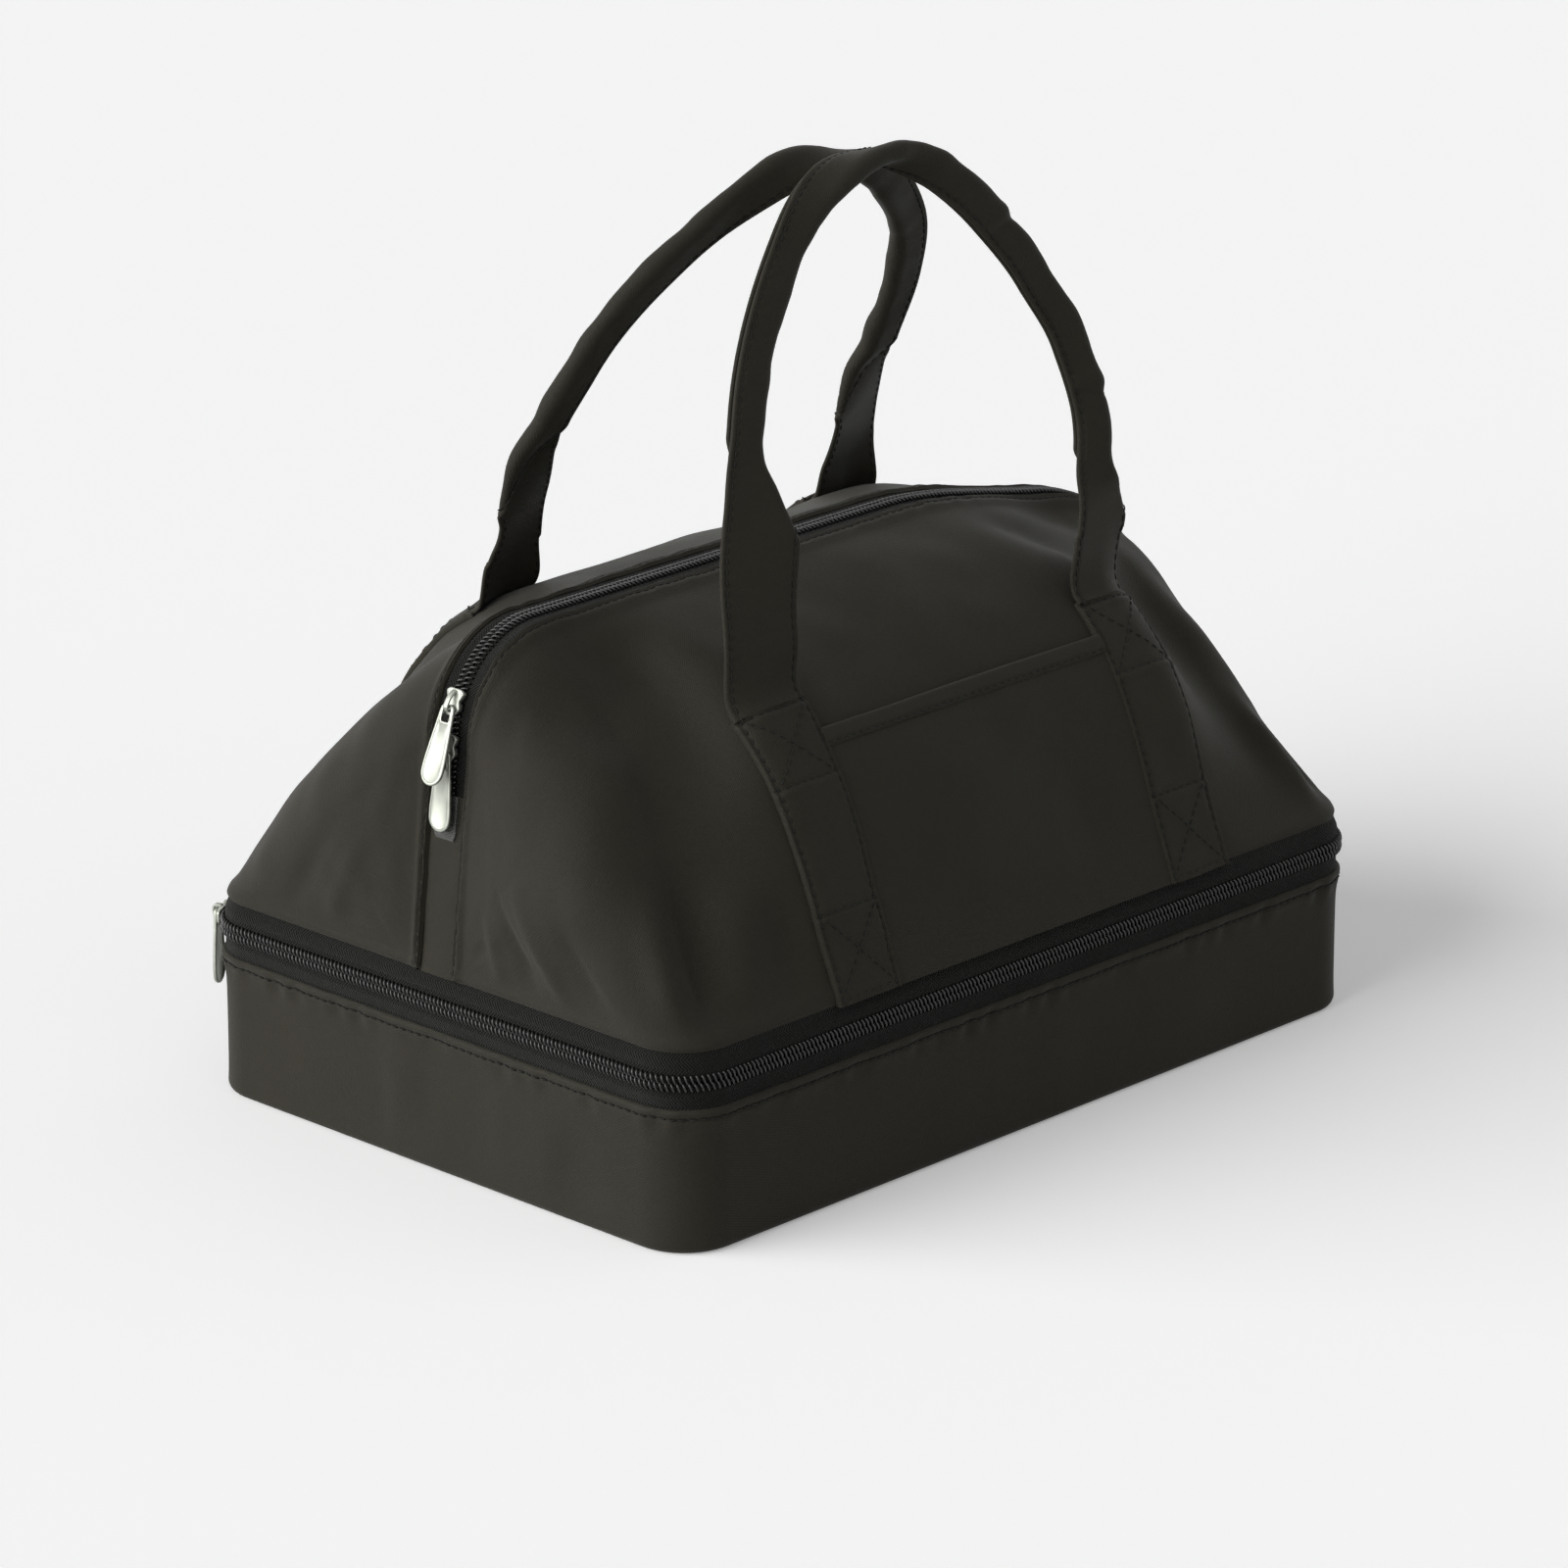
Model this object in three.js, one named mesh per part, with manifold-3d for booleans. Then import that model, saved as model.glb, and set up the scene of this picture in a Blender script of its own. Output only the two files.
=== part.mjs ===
// Casserole carrier: a shallow zipped tray for a hot dish with a tall zipped bag hinged on top of it.
// Millimetres, +Z up, +X to the right along the long side, front at -Y, origin under the middle of the tray.
import * as THREE from 'three';
import Module from 'manifold-3d';

const wasm = await Module();
wasm.setup();

// Sizes of the whole carrier
const tray = { length: 440, depth: 302, cornerRadius: 27, wallTop: 66 };
const bag = {
  seamHeight: 91,        // lower seam of the bag's panels
  seamInset: 1,          // how far that seam lies inside the tray's outline
  stripHalfWidth: 10,    // half of the strip that runs up each end and carries the zip over the top
  shoulderInset: 59,     // from the tray's end to the centre of the rounded shoulder above it
  shoulderZ: 195,
  shoulderRadius: 46,
  frontBulge: 37,        // how far the front and back stand out of the straight line between their seams
  leftBulge: 10, rightBulge: -3,
  layerGap: 0.6,         // air between the layers of a curved panel
};
const shoulderX = tray.length / 2 - bag.shoulderInset;
const sag = { drop: 20, from: 60, full: 200, fromShare: 0.71 }; // the ridge has sunk towards its right end
const cloth = {
  shell: 1.2, lining: 0.8, wallFoam: 4, floorFoam: 3, bagFoam: 3, board: 2.5, webbing: 2.2, hem: 1.8,
};
const fit = 0.3;         // clearance between pieces that lie on each other

// Zip chain, the same on the tray and on the top opening
const zip = {
  tape: 0.8, tapeInset: 0.6, coilWidth: 3.3, coilProud: 2, chainGap: 1,
  trayHeight: 78,        // height of the tray's zip line
  topEndHeight: 172,     // where the top zip stops on each end
};
const slider = {
  length: 12, width: 10.5, plate: 1.3, clearance: 0.5, web: 0.5, webLength: 3.5,
  wingWidth: 8, wing: 0.9, bailWidth: 2.6, bailWall: 1.3, bailHole: 1.5, bailTail: 4.6, axisAbovePlate: 1.4,
  axisAhead: 2.2, bailCloseDegrees: 108,
};
const pull = {
  length: 35, thickness: 1.6, headWidth: 7.6, width: 12.5, windowWidth: 4.4, windowLength: 6, bar: 1.6,
};
const endTab = { length: 20, width: 13, thickness: 0.9 };

// Carrying straps: sewn to the bag's faces, then loose as two handles
const strap = { width: 38, spread: 107 };
const pocket = { hemHeightShare: 0.045, topShare: 0.53 };
const grip = {
  width: 20, thickness: 11,        // strap folded round its filling, on the two legs
  topWidth: 11, topThickness: 18,  // the same fold lies over at the top of the loop
  flatLength: 88, foldLength: 28,
  topFromShare: 0.66, topFullShare: 0.95,
};
const handleGap = 1.2;   // between the sewn strap's end and the loose strap
const legPower = 6;      // how soon the legs of a loop draw in above their sewn ends
const frontLoop = { rise: 216, leanDegrees: 11.9, inset: 26, bow: 2, heightPower: 0.44 };
const backLoop = { rise: 214, leanDegrees: 25.7, inset: 32, bow: -7, heightPower: 0.31 };
const frontStrapTopShare = 0.61; // where the sewn part ends, up the face of the bag
const backStrapTopShare = 0.71;

// Angles round the tray's outline, in degrees, with the corners joined up: the zip leaves out the back
const zipStartAngle = 104;
const zipEndAngle = 436;
const hingeStartAngle = 76.8;
const hingeEndAngle = 103.2;
const parkAngle = 117;       // the tray's slider waits on this corner
const topParkDegrees = 21;   // the top slider waits this far above the level of the shoulder's centre
const lowerSliderDrop = 2.5; // the second top slider waits this far below the shoulder

const steps = {
  corner: 6, shoulder: 8, endZone: 3, frontZone: 8, rise: 8, handle: 30, handleFine: 400,
  strap: 5, pocket: 4, hemRows: 2, hole: 8, tabEnd: 6,
};

// Colours, roughness and metalness
function finish(color, roughness, metalness = 0) {
  return new THREE.MeshStandardMaterial({ color, roughness, metalness });
}
const finishes = {
  shell: finish(0x32312d, 0.6),
  tape: finish(0x1f1f1d, 0.85),
  coil: finish(0x2b2b2a, 0.4),
  lining: finish(0x8d8f8e, 0.5),
  foam: finish(0x9a9a94, 0.95),
  board: finish(0x6b6b66, 0.7),
  metal: finish(0xc5c9bc, 0.28, 1),
};

// Closed mesh from points and triangles: equal points are joined and the faces are turned outwards
function closedGeometry(points, triangles) {
  const joined = new Map();
  const positions = [];
  const mergeScale = 1e4;
  const rename = points.map((p) => {
    const key = p.toArray().map((c) => Math.round(c * mergeScale)).join();
    if (!joined.has(key)) {
      joined.set(key, positions.length / 3);
      positions.push(p.x, p.y, p.z);
    }
    return joined.get(key);
  });
  const faces = triangles
    .map((face) => face.map((i) => rename[i]))
    .filter(([i, j, k]) => i !== j && j !== k && k !== i);
  const corner = (i) => new THREE.Vector3(...positions.slice(3 * i, 3 * i + 3));
  const volume = faces.reduce((sum, [i, j, k]) => sum + corner(i).dot(corner(j).cross(corner(k))), 0);
  const index = faces.flatMap(([i, j, k]) => (volume > 0 ? [i, j, k] : [i, k, j]));
  const geometry = new THREE.BufferGeometry();
  geometry.setAttribute('position', new THREE.Float32BufferAttribute(positions, 3));
  geometry.setIndex(index);
  geometry.computeVertexNormals();
  return geometry;
}

// Solid through a row of sections with equal counts of points; flat is one section seen square on
function loft(sections, flat, closed = false) {
  const count = flat.length;
  const points = sections.flat();
  const triangles = [];
  const spans = closed ? sections.length : sections.length - 1;
  for (let i = 0; i < spans; i += 1) {
    const here = i * count;
    const next = ((i + 1) % sections.length) * count;
    for (let j = 0; j < count; j += 1) {
      const k = (j + 1) % count;
      triangles.push([here + j, here + k, next + k], [here + j, next + k, next + j]);
    }
  }
  if (!closed) {
    const last = (sections.length - 1) * count;
    const sense = Math.sign(THREE.ShapeUtils.area(flat));
    for (const [i, j, k] of THREE.ShapeUtils.triangulateShape(flat, [])) {
      const same = Math.sign(THREE.ShapeUtils.area([flat[i], flat[j], flat[k]])) === sense;
      const [a, b, c] = same ? [i, j, k] : [i, k, j];
      triangles.push([a, c, b], [a + last, b + last, c + last]);
    }
  }
  return closedGeometry(points, triangles);
}

function rectangle(x0, x1, y0, y1) {
  return [[x0, y0], [x1, y0], [x1, y1], [x0, y1]].map(([x, y]) => new THREE.Vector2(x, y));
}

// Stations round the tray's outline between two angles; straight sides lie between the corners
function outlineStations(from, to) {
  const quarter = 90;
  const halfX = tray.length / 2 - tray.cornerRadius;
  const halfY = tray.depth / 2 - tray.cornerRadius;
  const stations = [];
  for (let corner = Math.floor(from / quarter); corner * quarter < to; corner += 1) {
    const low = Math.max(from, corner * quarter);
    const high = Math.min(to, (corner + 1) * quarter);
    const count = Math.max(1, Math.round((steps.corner * (high - low)) / quarter));
    const signs = [[1, 1], [-1, 1], [-1, -1], [1, -1]][corner % 4];
    for (let i = 0; i <= count; i += 1) {
      const angle = THREE.MathUtils.degToRad(low + ((high - low) * i) / count);
      stations.push({ x: signs[0] * halfX, y: signs[1] * halfY, angle });
    }
  }
  return stations;
}

function outlinePoint(station, inward, z) {
  const reach = tray.cornerRadius - inward;
  return new THREE.Vector3(
    station.x + reach * Math.cos(station.angle),
    station.y + reach * Math.sin(station.angle),
    z,
  );
}

// Wall that follows the tray's outline: its profile is in distance inwards and height
function outlineWall(profile, from = 0, to = 360) {
  const closed = to - from >= 360;
  const sections = outlineStations(from, to)
    .map((station) => profile.map((p) => outlinePoint(station, p.x, p.y)));
  return loft(sections, profile, closed);
}

function outlinePlate(inward, low, high) {
  const ring = outlineStations(0, 360).map((station) => outlinePoint(station, inward, 0));
  const flat = ring.map((p) => new THREE.Vector2(p.x, p.y));
  return loft([low, high].map((z) => ring.map((p) => new THREE.Vector3(p.x, p.y, z))), flat);
}

// The two seams of a front panel, from its left corner (share 0) to its right corner (share 1)
const endShare = 0.17;
const cornerShare = 0.1;

function seamPoints(share) {
  const side = share > 0.5 ? 1 : -1;
  const s = share > 0.5 ? 1 - share : share;
  const halfX = tray.length / 2 - tray.cornerRadius;
  const halfY = tray.depth / 2 - tray.cornerRadius;
  const reach = tray.cornerRadius - bag.seamInset;
  const seamX = halfX + reach;
  const shoulderReach = shoulderX + bag.shoulderRadius;
  let low;
  let high;
  if (s <= endShare) {
    const k = s / endShare;
    low = [seamX, THREE.MathUtils.lerp(bag.stripHalfWidth, halfY, k)];
    high = [THREE.MathUtils.lerp(seamX, shoulderReach, k), THREE.MathUtils.lerp(bag.seamHeight, bag.shoulderZ, k)];
  } else if (s <= endShare + cornerShare) {
    const angle = ((s - endShare) / cornerShare) * (Math.PI / 2);
    low = [halfX + reach * Math.cos(angle), halfY + reach * Math.sin(angle)];
    high = [
      shoulderX + bag.shoulderRadius * Math.cos(angle),
      bag.shoulderZ + bag.shoulderRadius * Math.sin(angle),
    ];
  } else {
    const k = (0.5 - s) / (0.5 - endShare - cornerShare);
    low = [halfX * k, halfY + reach];
    high = [shoulderX * k, bag.shoulderZ + bag.shoulderRadius];
  }
  return {
    low: new THREE.Vector3(side * low[0], -low[1], bag.seamHeight),
    high: new THREE.Vector3(side * high[0], -bag.stripHalfWidth, high[1]),
  };
}

const smallShare = 1e-3;
const tipShare = 5e-3;       // directions at a panel's two tips are taken this far inside
const bulgeSkewShare = 0.25; // puts the fullest part of the curve above the middle
const fullBulgeShare = 0.62; // the front is at its fullest between these parts of its half length

// How far a point of the ridge has sunk
function ridgeSag(x, z) {
  const fromShoulder = THREE.MathUtils.clamp((z - bag.shoulderZ) / bag.shoulderRadius, 0, 1);
  return sag.drop * THREE.MathUtils.smoothstep(x, sag.from, sag.full) * fromShoulder;
}

// Point on the outer face of the front panel: s runs along the seams, t from the lower to the upper one
function facePoint(s, t) {
  const seam = seamPoints(s);
  const held = THREE.MathUtils.clamp(s, tipShare, 1 - tipShare);
  const before = seamPoints(held - smallShare);
  const after = seamPoints(held + smallShare);
  const here = seamPoints(held);
  const along = after.low.clone().sub(before.low).add(after.high.clone().sub(before.high));
  const across = here.high.clone().sub(here.low);
  const outward = along.cross(across).normalize();
  const fromMiddle = Math.abs(s - 0.5) / (0.5 - endShare - cornerShare);
  const fullness = 1 - THREE.MathUtils.smoothstep(fromMiddle, fullBulgeShare, 1);
  const tip = THREE.MathUtils.smoothstep(Math.min(s, 1 - s), 0, endShare);
  const endBulge = s < 0.5 ? bag.leftBulge : bag.rightBulge;
  const bulge = THREE.MathUtils.lerp(tip * endBulge, bag.frontBulge, fullness);
  const point = seam.low.clone().lerp(seam.high, t);
  const skewed = t * (1 - bulgeSkewShare + bulgeSkewShare * t);
  point.addScaledVector(outward, bulge * Math.sin(Math.PI * skewed));
  point.z -= ridgeSag(seam.high.x, seam.high.z) * THREE.MathUtils.smoothstep(t, sag.fromShare, 1);
  return point;
}

function faceNormal(s, t) {
  const u = THREE.MathUtils.clamp(s, tipShare, 1 - tipShare);
  const v = THREE.MathUtils.clamp(t, smallShare, 1 - smallShare);
  const along = facePoint(u + smallShare, v).sub(facePoint(u - smallShare, v));
  const across = facePoint(u, v + smallShare).sub(facePoint(u, v - smallShare));
  return along.cross(across).normalize();
}

const levelShare = 0.12;     // within this share of a seam the layers turn to end square to it

// Point below (positive) or above (negative) the face; the back is the mirror of the front
function layerPoint(s, t, depth, back) {
  const normal = faceNormal(s, t);
  const fromTip = THREE.MathUtils.smoothstep(Math.min(s, 1 - s), 0, endShare * levelShare);
  normal.z *= fromTip * THREE.MathUtils.smoothstep(t, 0, levelShare);
  normal.y *= fromTip * THREE.MathUtils.smoothstep(1 - t, 0, levelShare);
  const p = facePoint(s, t).addScaledVector(normal.normalize(), -depth);
  return back ? new THREE.Vector3(p.x, -p.y, p.z) : p;
}

// Share along the seams of a point at height share t that lies x from the middle of the front
function shareAt(x, t) {
  const halfX = tray.length / 2 - tray.cornerRadius;
  return 0.5 + (x / THREE.MathUtils.lerp(halfX, shoulderX, t)) * (0.5 - endShare - cornerShare);
}

// Sheet of even thickness between two depths; grid gives the shares of its points, row by row
function sheet(grid, outer, inner, back = false) {
  const rows = grid.length;
  const columns = grid[0].length;
  const layer = (depth) => grid.flatMap((row) => row.map(([s, t]) => layerPoint(s, t, depth, back)));
  const points = [...layer(outer), ...layer(inner)];
  const under = rows * columns;
  const at = (i, j) => i * columns + j;
  const triangles = [];
  for (let i = 0; i < rows - 1; i += 1) {
    for (let j = 0; j < columns - 1; j += 1) {
      const [a, b, c, d] = [at(i, j), at(i + 1, j), at(i + 1, j + 1), at(i, j + 1)];
      triangles.push([a, b, c], [a, c, d]);
      triangles.push([a + under, c + under, b + under], [a + under, d + under, c + under]);
    }
  }
  const rim = [];
  for (let i = 0; i < rows - 1; i += 1) {
    rim.push([at(i + 1, 0), at(i, 0)], [at(i, columns - 1), at(i + 1, columns - 1)]);
  }
  for (let j = 0; j < columns - 1; j += 1) {
    rim.push([at(0, j), at(0, j + 1)], [at(rows - 1, j + 1), at(rows - 1, j)]);
  }
  for (const [a, b] of rim) triangles.push([a, b, b + under], [a, b + under, a + under]);
  return closedGeometry(points, triangles);
}

// Shares along a panel's seams, with more of them round the corners
function panelColumns(endSteps, cornerSteps, frontSteps) {
  const half = [];
  for (let i = 0; i < endSteps; i += 1) half.push((endShare * i) / endSteps);
  for (let i = 0; i < cornerSteps; i += 1) half.push(endShare + (cornerShare * i) / cornerSteps);
  const edge = endShare + cornerShare;
  const front = [];
  for (let i = 0; i <= frontSteps; i += 1) front.push(edge + ((1 - 2 * edge) * i) / frontSteps);
  return [...half, ...front, ...half.reverse().map((s) => 1 - s)];
}

function panelSheet(outer, inner, columns, rises, back) {
  const grid = columns.map((s) => {
    const row = [];
    for (let j = 0; j <= rises; j += 1) row.push([s, j / rises]);
    return row;
  });
  return sheet(grid, outer, inner, back);
}

// Patch of webbing or cloth on the flat of a face, between two distances from the middle and two heights
function facePatch({ x0, x1, t0, t1, xSteps, tSteps, outer, inner, back }) {
  const grid = [];
  for (let i = 0; i <= xSteps; i += 1) {
    const row = [];
    for (let j = 0; j <= tSteps; j += 1) {
      const t = THREE.MathUtils.lerp(t0, t1, j / tSteps);
      row.push([shareAt(THREE.MathUtils.lerp(x0, x1, i / xSteps), t), t]);
    }
    grid.push(row);
  }
  return sheet(grid, outer, inner, back);
}

// Distance from the middle of the strip that runs up each end of the bag
function endLineX(z) {
  const seamX = tray.length / 2 - bag.seamInset;
  const shoulderReach = shoulderX + bag.shoulderRadius;
  return THREE.MathUtils.mapLinear(z, bag.seamHeight, bag.shoulderZ, seamX, shoulderReach);
}

// Line of the top zip in the middle plane: up the left end, over the top and down the right end
function archStations(fromHeight) {
  const end = [[endLineX(fromHeight), fromHeight]];
  for (let i = 0; i <= steps.shoulder; i += 1) {
    const angle = (i / steps.shoulder) * (Math.PI / 2);
    end.push([
      shoulderX + bag.shoulderRadius * Math.cos(angle),
      bag.shoulderZ + bag.shoulderRadius * Math.sin(angle),
    ]);
  }
  const top = [];
  for (let i = 1; i < steps.frontZone; i += 1) {
    const x = THREE.MathUtils.lerp(-shoulderX, shoulderX, i / steps.frontZone);
    top.push([x, bag.shoulderZ + bag.shoulderRadius]);
  }
  const line = [...end.map(([x, z]) => [-x, z]), ...top, ...end.reverse()]
    .map(([x, z]) => new THREE.Vector2(x, z - ridgeSag(x, z)));
  return line.map((p, i) => {
    const before = line[Math.max(i - 1, 0)];
    const along = line[Math.min(i + 1, line.length - 1)].clone().sub(before).normalize();
    return { x: p.x, z: p.y, nx: -along.y, nz: along.x };
  });
}

// Strip along the top zip's line, between two distances from the middle plane and two depths
function archStrip(y0, y1, outer, inner, fromHeight) {
  const profile = rectangle(y0, y1, outer, inner);
  const sections = archStations(fromHeight).map((s) => profile.map((p) => (
    new THREE.Vector3(s.x - s.nx * p.y, p.x, s.z - s.nz * p.y))));
  return loft(sections, profile);
}

// Strip up one end of the bag, below the top zip
function endStrip(side, y0, y1, outer, inner, low, high) {
  const profile = rectangle(y0, y1, outer, inner);
  const sections = [low, high].map((z) => (
    profile.map((p) => new THREE.Vector3(side * (endLineX(z) - p.y), p.x, z))));
  return loft(sections, profile);
}

// A handle: the loose strap leaves the face, folds into a grip and comes down to the other sewn end
function handleRoot(back) {
  const proud = fit + cloth.webbing / 2;
  const t = back ? backStrapTopShare : frontStrapTopShare;
  const share = shareAt(strap.spread, t);
  const p = layerPoint(share, t, -proud, false);
  const up = layerPoint(share, t + smallShare, -proud, false).sub(p).normalize();
  p.addScaledVector(up, handleGap);
  return { y: back ? -p.y : p.y, z: p.z };
}

function handleGeometry(loop, back) {
  const root = handleRoot(back);
  const towards = back ? -1 : 1;
  const lean = THREE.MathUtils.degToRad(loop.leanDegrees);
  const up = new THREE.Vector3(0, towards * Math.sin(lean), Math.cos(lean));
  const sideways = new THREE.Vector3(1, 0, 0);
  const facing = new THREE.Vector3().crossVectors(sideways, up);
  const centre = (share) => {
    const across = -Math.cos(Math.PI * THREE.MathUtils.smootherstep(share, 0, 1));
    const heightShare = Math.sqrt(1 - across ** 2) ** loop.heightPower;
    const spread = strap.spread - loop.inset * (1 - Math.abs(across) ** legPower);
    return { x: across * spread + loop.bow * Math.sin(Math.PI * heightShare), h: loop.rise * heightShare };
  };
  const path = [];
  const fine = steps.handleFine;
  for (let i = 0; i <= fine; i += 1) path.push(centre(i / fine));
  const run = [0];
  for (let i = 1; i <= fine; i += 1) {
    run.push(run[i - 1] + Math.hypot(path[i].x - path[i - 1].x, path[i].h - path[i - 1].h));
  }
  const total = run[fine];
  const sections = [];
  for (let i = 0; i <= steps.handle; i += 1) {
    const distance = (total * i) / steps.handle;
    let j = Math.max(1, run.findIndex((length) => length >= distance - smallShare));
    const k = (distance - run[j - 1]) / (run[j] - run[j - 1]);
    const x = THREE.MathUtils.lerp(path[j - 1].x, path[j].x, k);
    const h = THREE.MathUtils.lerp(path[j - 1].h, path[j].h, k);
    let tangent = new THREE.Vector2(path[j].x - path[j - 1].x, path[j].h - path[j - 1].h).normalize();
    if (i === 0) tangent = new THREE.Vector2(0, 1);
    if (i === steps.handle) tangent = new THREE.Vector2(0, -1);
    const fromEnd = Math.min(distance, total - distance);
    const fold = THREE.MathUtils.smoothstep(fromEnd, grip.flatLength, grip.flatLength + grip.foldLength);
    const over = THREE.MathUtils.smoothstep(h / loop.rise, grip.topFromShare, grip.topFullShare);
    const gripWidth = THREE.MathUtils.lerp(grip.width, grip.topWidth, over);
    const gripThick = THREE.MathUtils.lerp(grip.thickness, grip.topThickness, over);
    const halfWidth = THREE.MathUtils.lerp(strap.width, gripWidth, fold) / 2;
    const halfThick = THREE.MathUtils.lerp(cloth.webbing, gripThick, fold) / 2;
    const middle = new THREE.Vector3(0, root.y, root.z).addScaledVector(sideways, x).addScaledVector(up, h);
    const wide = new THREE.Vector3().addScaledVector(sideways, tangent.y).addScaledVector(up, -tangent.x);
    sections.push(gripOutline.map((p) => middle.clone()
      .addScaledVector(wide, p.x * halfWidth)
      .addScaledVector(facing, p.y * halfThick)));
  }
  return loft(sections, gripOutline);
}

// Flattened tube, in shares of its half width and half thickness
const gripOutlineShares = [[1, -0.5], [1, 0.5], [0.55, 1], [-0.55, 1], [-1, 0.5], [-1, -0.5], [-0.55, -1], [0.55, -1]];
const gripOutline = gripOutlineShares.map(([x, y]) => new THREE.Vector2(x, y));

// Conversions for cutting and joining
function toSolid(geometry) {
  const indexed = geometry.index ? geometry : null;
  const position = geometry.attributes.position;
  const points = [];
  for (let i = 0; i < position.count; i += 1) points.push(new THREE.Vector3().fromBufferAttribute(position, i));
  const order = indexed ? Array.from(indexed.index.array) : points.map((_, i) => i);
  const triangles = [];
  for (let i = 0; i < order.length; i += 3) triangles.push(order.slice(i, i + 3));
  const clean = closedGeometry(points, triangles);
  return new wasm.Manifold(new wasm.Mesh({
    numProp: 3,
    vertProperties: new Float32Array(clean.attributes.position.array),
    triVerts: new Uint32Array(clean.index.array),
  }));
}

function fromSolid(solid) {
  const mesh = solid.getMesh();
  const geometry = new THREE.BufferGeometry();
  geometry.setAttribute('position', new THREE.Float32BufferAttribute(Array.from(mesh.vertProperties), 3));
  geometry.setIndex(Array.from(mesh.triVerts));
  geometry.computeVertexNormals();
  return geometry;
}

// Slider in its own frame: +X along the zip towards the hanging tab, +Z out of the cloth
const plateLow = zip.coilProud + slider.clearance;
const plateTop = plateLow + slider.plate;
const axisHeight = plateTop + slider.axisAbovePlate;
const crownShares = [[-0.5, 0.62], [-0.38, 1], [-0.06, 0.66], [0.2, 0.9], [0.5, 0.42]];

function crownPlate() {
  const half = crownShares.map(([x, y]) => [x * slider.length, (y * slider.width) / 2]);
  const outline = [...half, ...half.map(([x, y]) => [x, -y]).reverse()];
  const shape = new THREE.Shape(outline.map(([x, y]) => new THREE.Vector2(x, y)));
  const geometry = new THREE.ExtrudeGeometry(shape, { depth: slider.plate, bevelEnabled: false });
  return toSolid(geometry.translate(0, 0, plateLow));
}

// Loop that stands on the plate, with its hole across the zip
function bail() {
  const outer = slider.bailHole + slider.bailWall;
  const foot = -slider.axisAbovePlate - slider.plate / 2;
  const shape = new THREE.Shape();
  shape.moveTo(-outer - slider.bailTail, -slider.axisAbovePlate);
  shape.lineTo(-outer - slider.bailTail, foot);
  shape.lineTo(outer, foot);
  shape.absarc(0, 0, outer, 0, THREE.MathUtils.degToRad(slider.bailCloseDegrees), false);
  const hole = new THREE.Path();
  hole.absarc(0, 0, slider.bailHole, 0, Math.PI * 2, true);
  shape.holes.push(hole);
  const geometry = new THREE.ExtrudeGeometry(shape, {
    depth: slider.bailWidth, bevelEnabled: false, curveSegments: steps.hole,
  });
  geometry.translate(0, 0, -slider.bailWidth / 2).rotateX(Math.PI / 2);
  return toSolid(geometry.translate(slider.axisAhead, 0, axisHeight));
}

// Web between the two halves of the chain, and the wing behind the tapes
function innerWing() {
  const wingTop = -zip.tapeInset - zip.tape - slider.clearance;
  const wingShape = new THREE.Shape(rectangle(
    -slider.length / 2, slider.length / 2, -slider.wingWidth / 2, slider.wingWidth / 2,
  ));
  const wing = new THREE.ExtrudeGeometry(wingShape, { depth: slider.wing, bevelEnabled: false });
  wing.translate(0, 0, wingTop - slider.wing);
  const webShape = new THREE.Shape(rectangle(
    -slider.webLength / 2, slider.webLength / 2, -slider.web / 2, slider.web / 2,
  ));
  const web = new THREE.ExtrudeGeometry(webShape, {
    depth: plateLow - wingTop + slider.plate / 2 + slider.wing / 2, bevelEnabled: false,
  });
  web.translate(0, 0, wingTop - slider.wing / 2);
  return toSolid(wing).add(toSolid(web));
}

function sliderGeometry({ withWing, bailTurn }) {
  const shift = new THREE.Matrix4().makeRotationZ(bailTurn);
  const turned = fromSolid(bail()).applyMatrix4(shift);
  let body = crownPlate().add(toSolid(turned));
  if (withWing) body = body.add(innerWing());
  return fromSolid(body);
}

// Tab with a window behind its top bar; the bar's centre is the origin and the tab runs along +X
const tabShares = [[0.42, 0.86], [0.72, 1]];

function pullGeometry() {
  const half = pull.headWidth / 2;
  const wide = pull.width / 2;
  const back = -pull.bar / 2;
  const roundStart = pull.length - wide;
  const shape = new THREE.Shape();
  shape.moveTo(back, -half);
  shape.lineTo(pull.length * tabShares[0][0], -wide * tabShares[0][1]);
  shape.lineTo(Math.min(pull.length * tabShares[1][0], roundStart), -wide * tabShares[1][1]);
  shape.absarc(roundStart, 0, wide, -Math.PI / 2, Math.PI / 2, false);
  shape.lineTo(pull.length * tabShares[0][0], wide * tabShares[0][1]);
  shape.lineTo(back, half);
  const window = new THREE.Path(rectangle(
    pull.bar / 2, pull.bar / 2 + pull.windowLength, -pull.windowWidth / 2, pull.windowWidth / 2,
  ).reverse());
  shape.holes.push(window);
  const geometry = new THREE.ExtrudeGeometry(shape, {
    depth: pull.thickness, bevelEnabled: false, curveSegments: steps.tabEnd,
  });
  return fromSolid(toSolid(geometry.translate(0, 0, -pull.thickness / 2)));
}

const carrier = new THREE.Group();

function add(name, geometry, material, parent = carrier) {
  const mesh = new THREE.Mesh(geometry, material);
  mesh.name = name;
  parent.add(mesh);
  return mesh;
}

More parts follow.
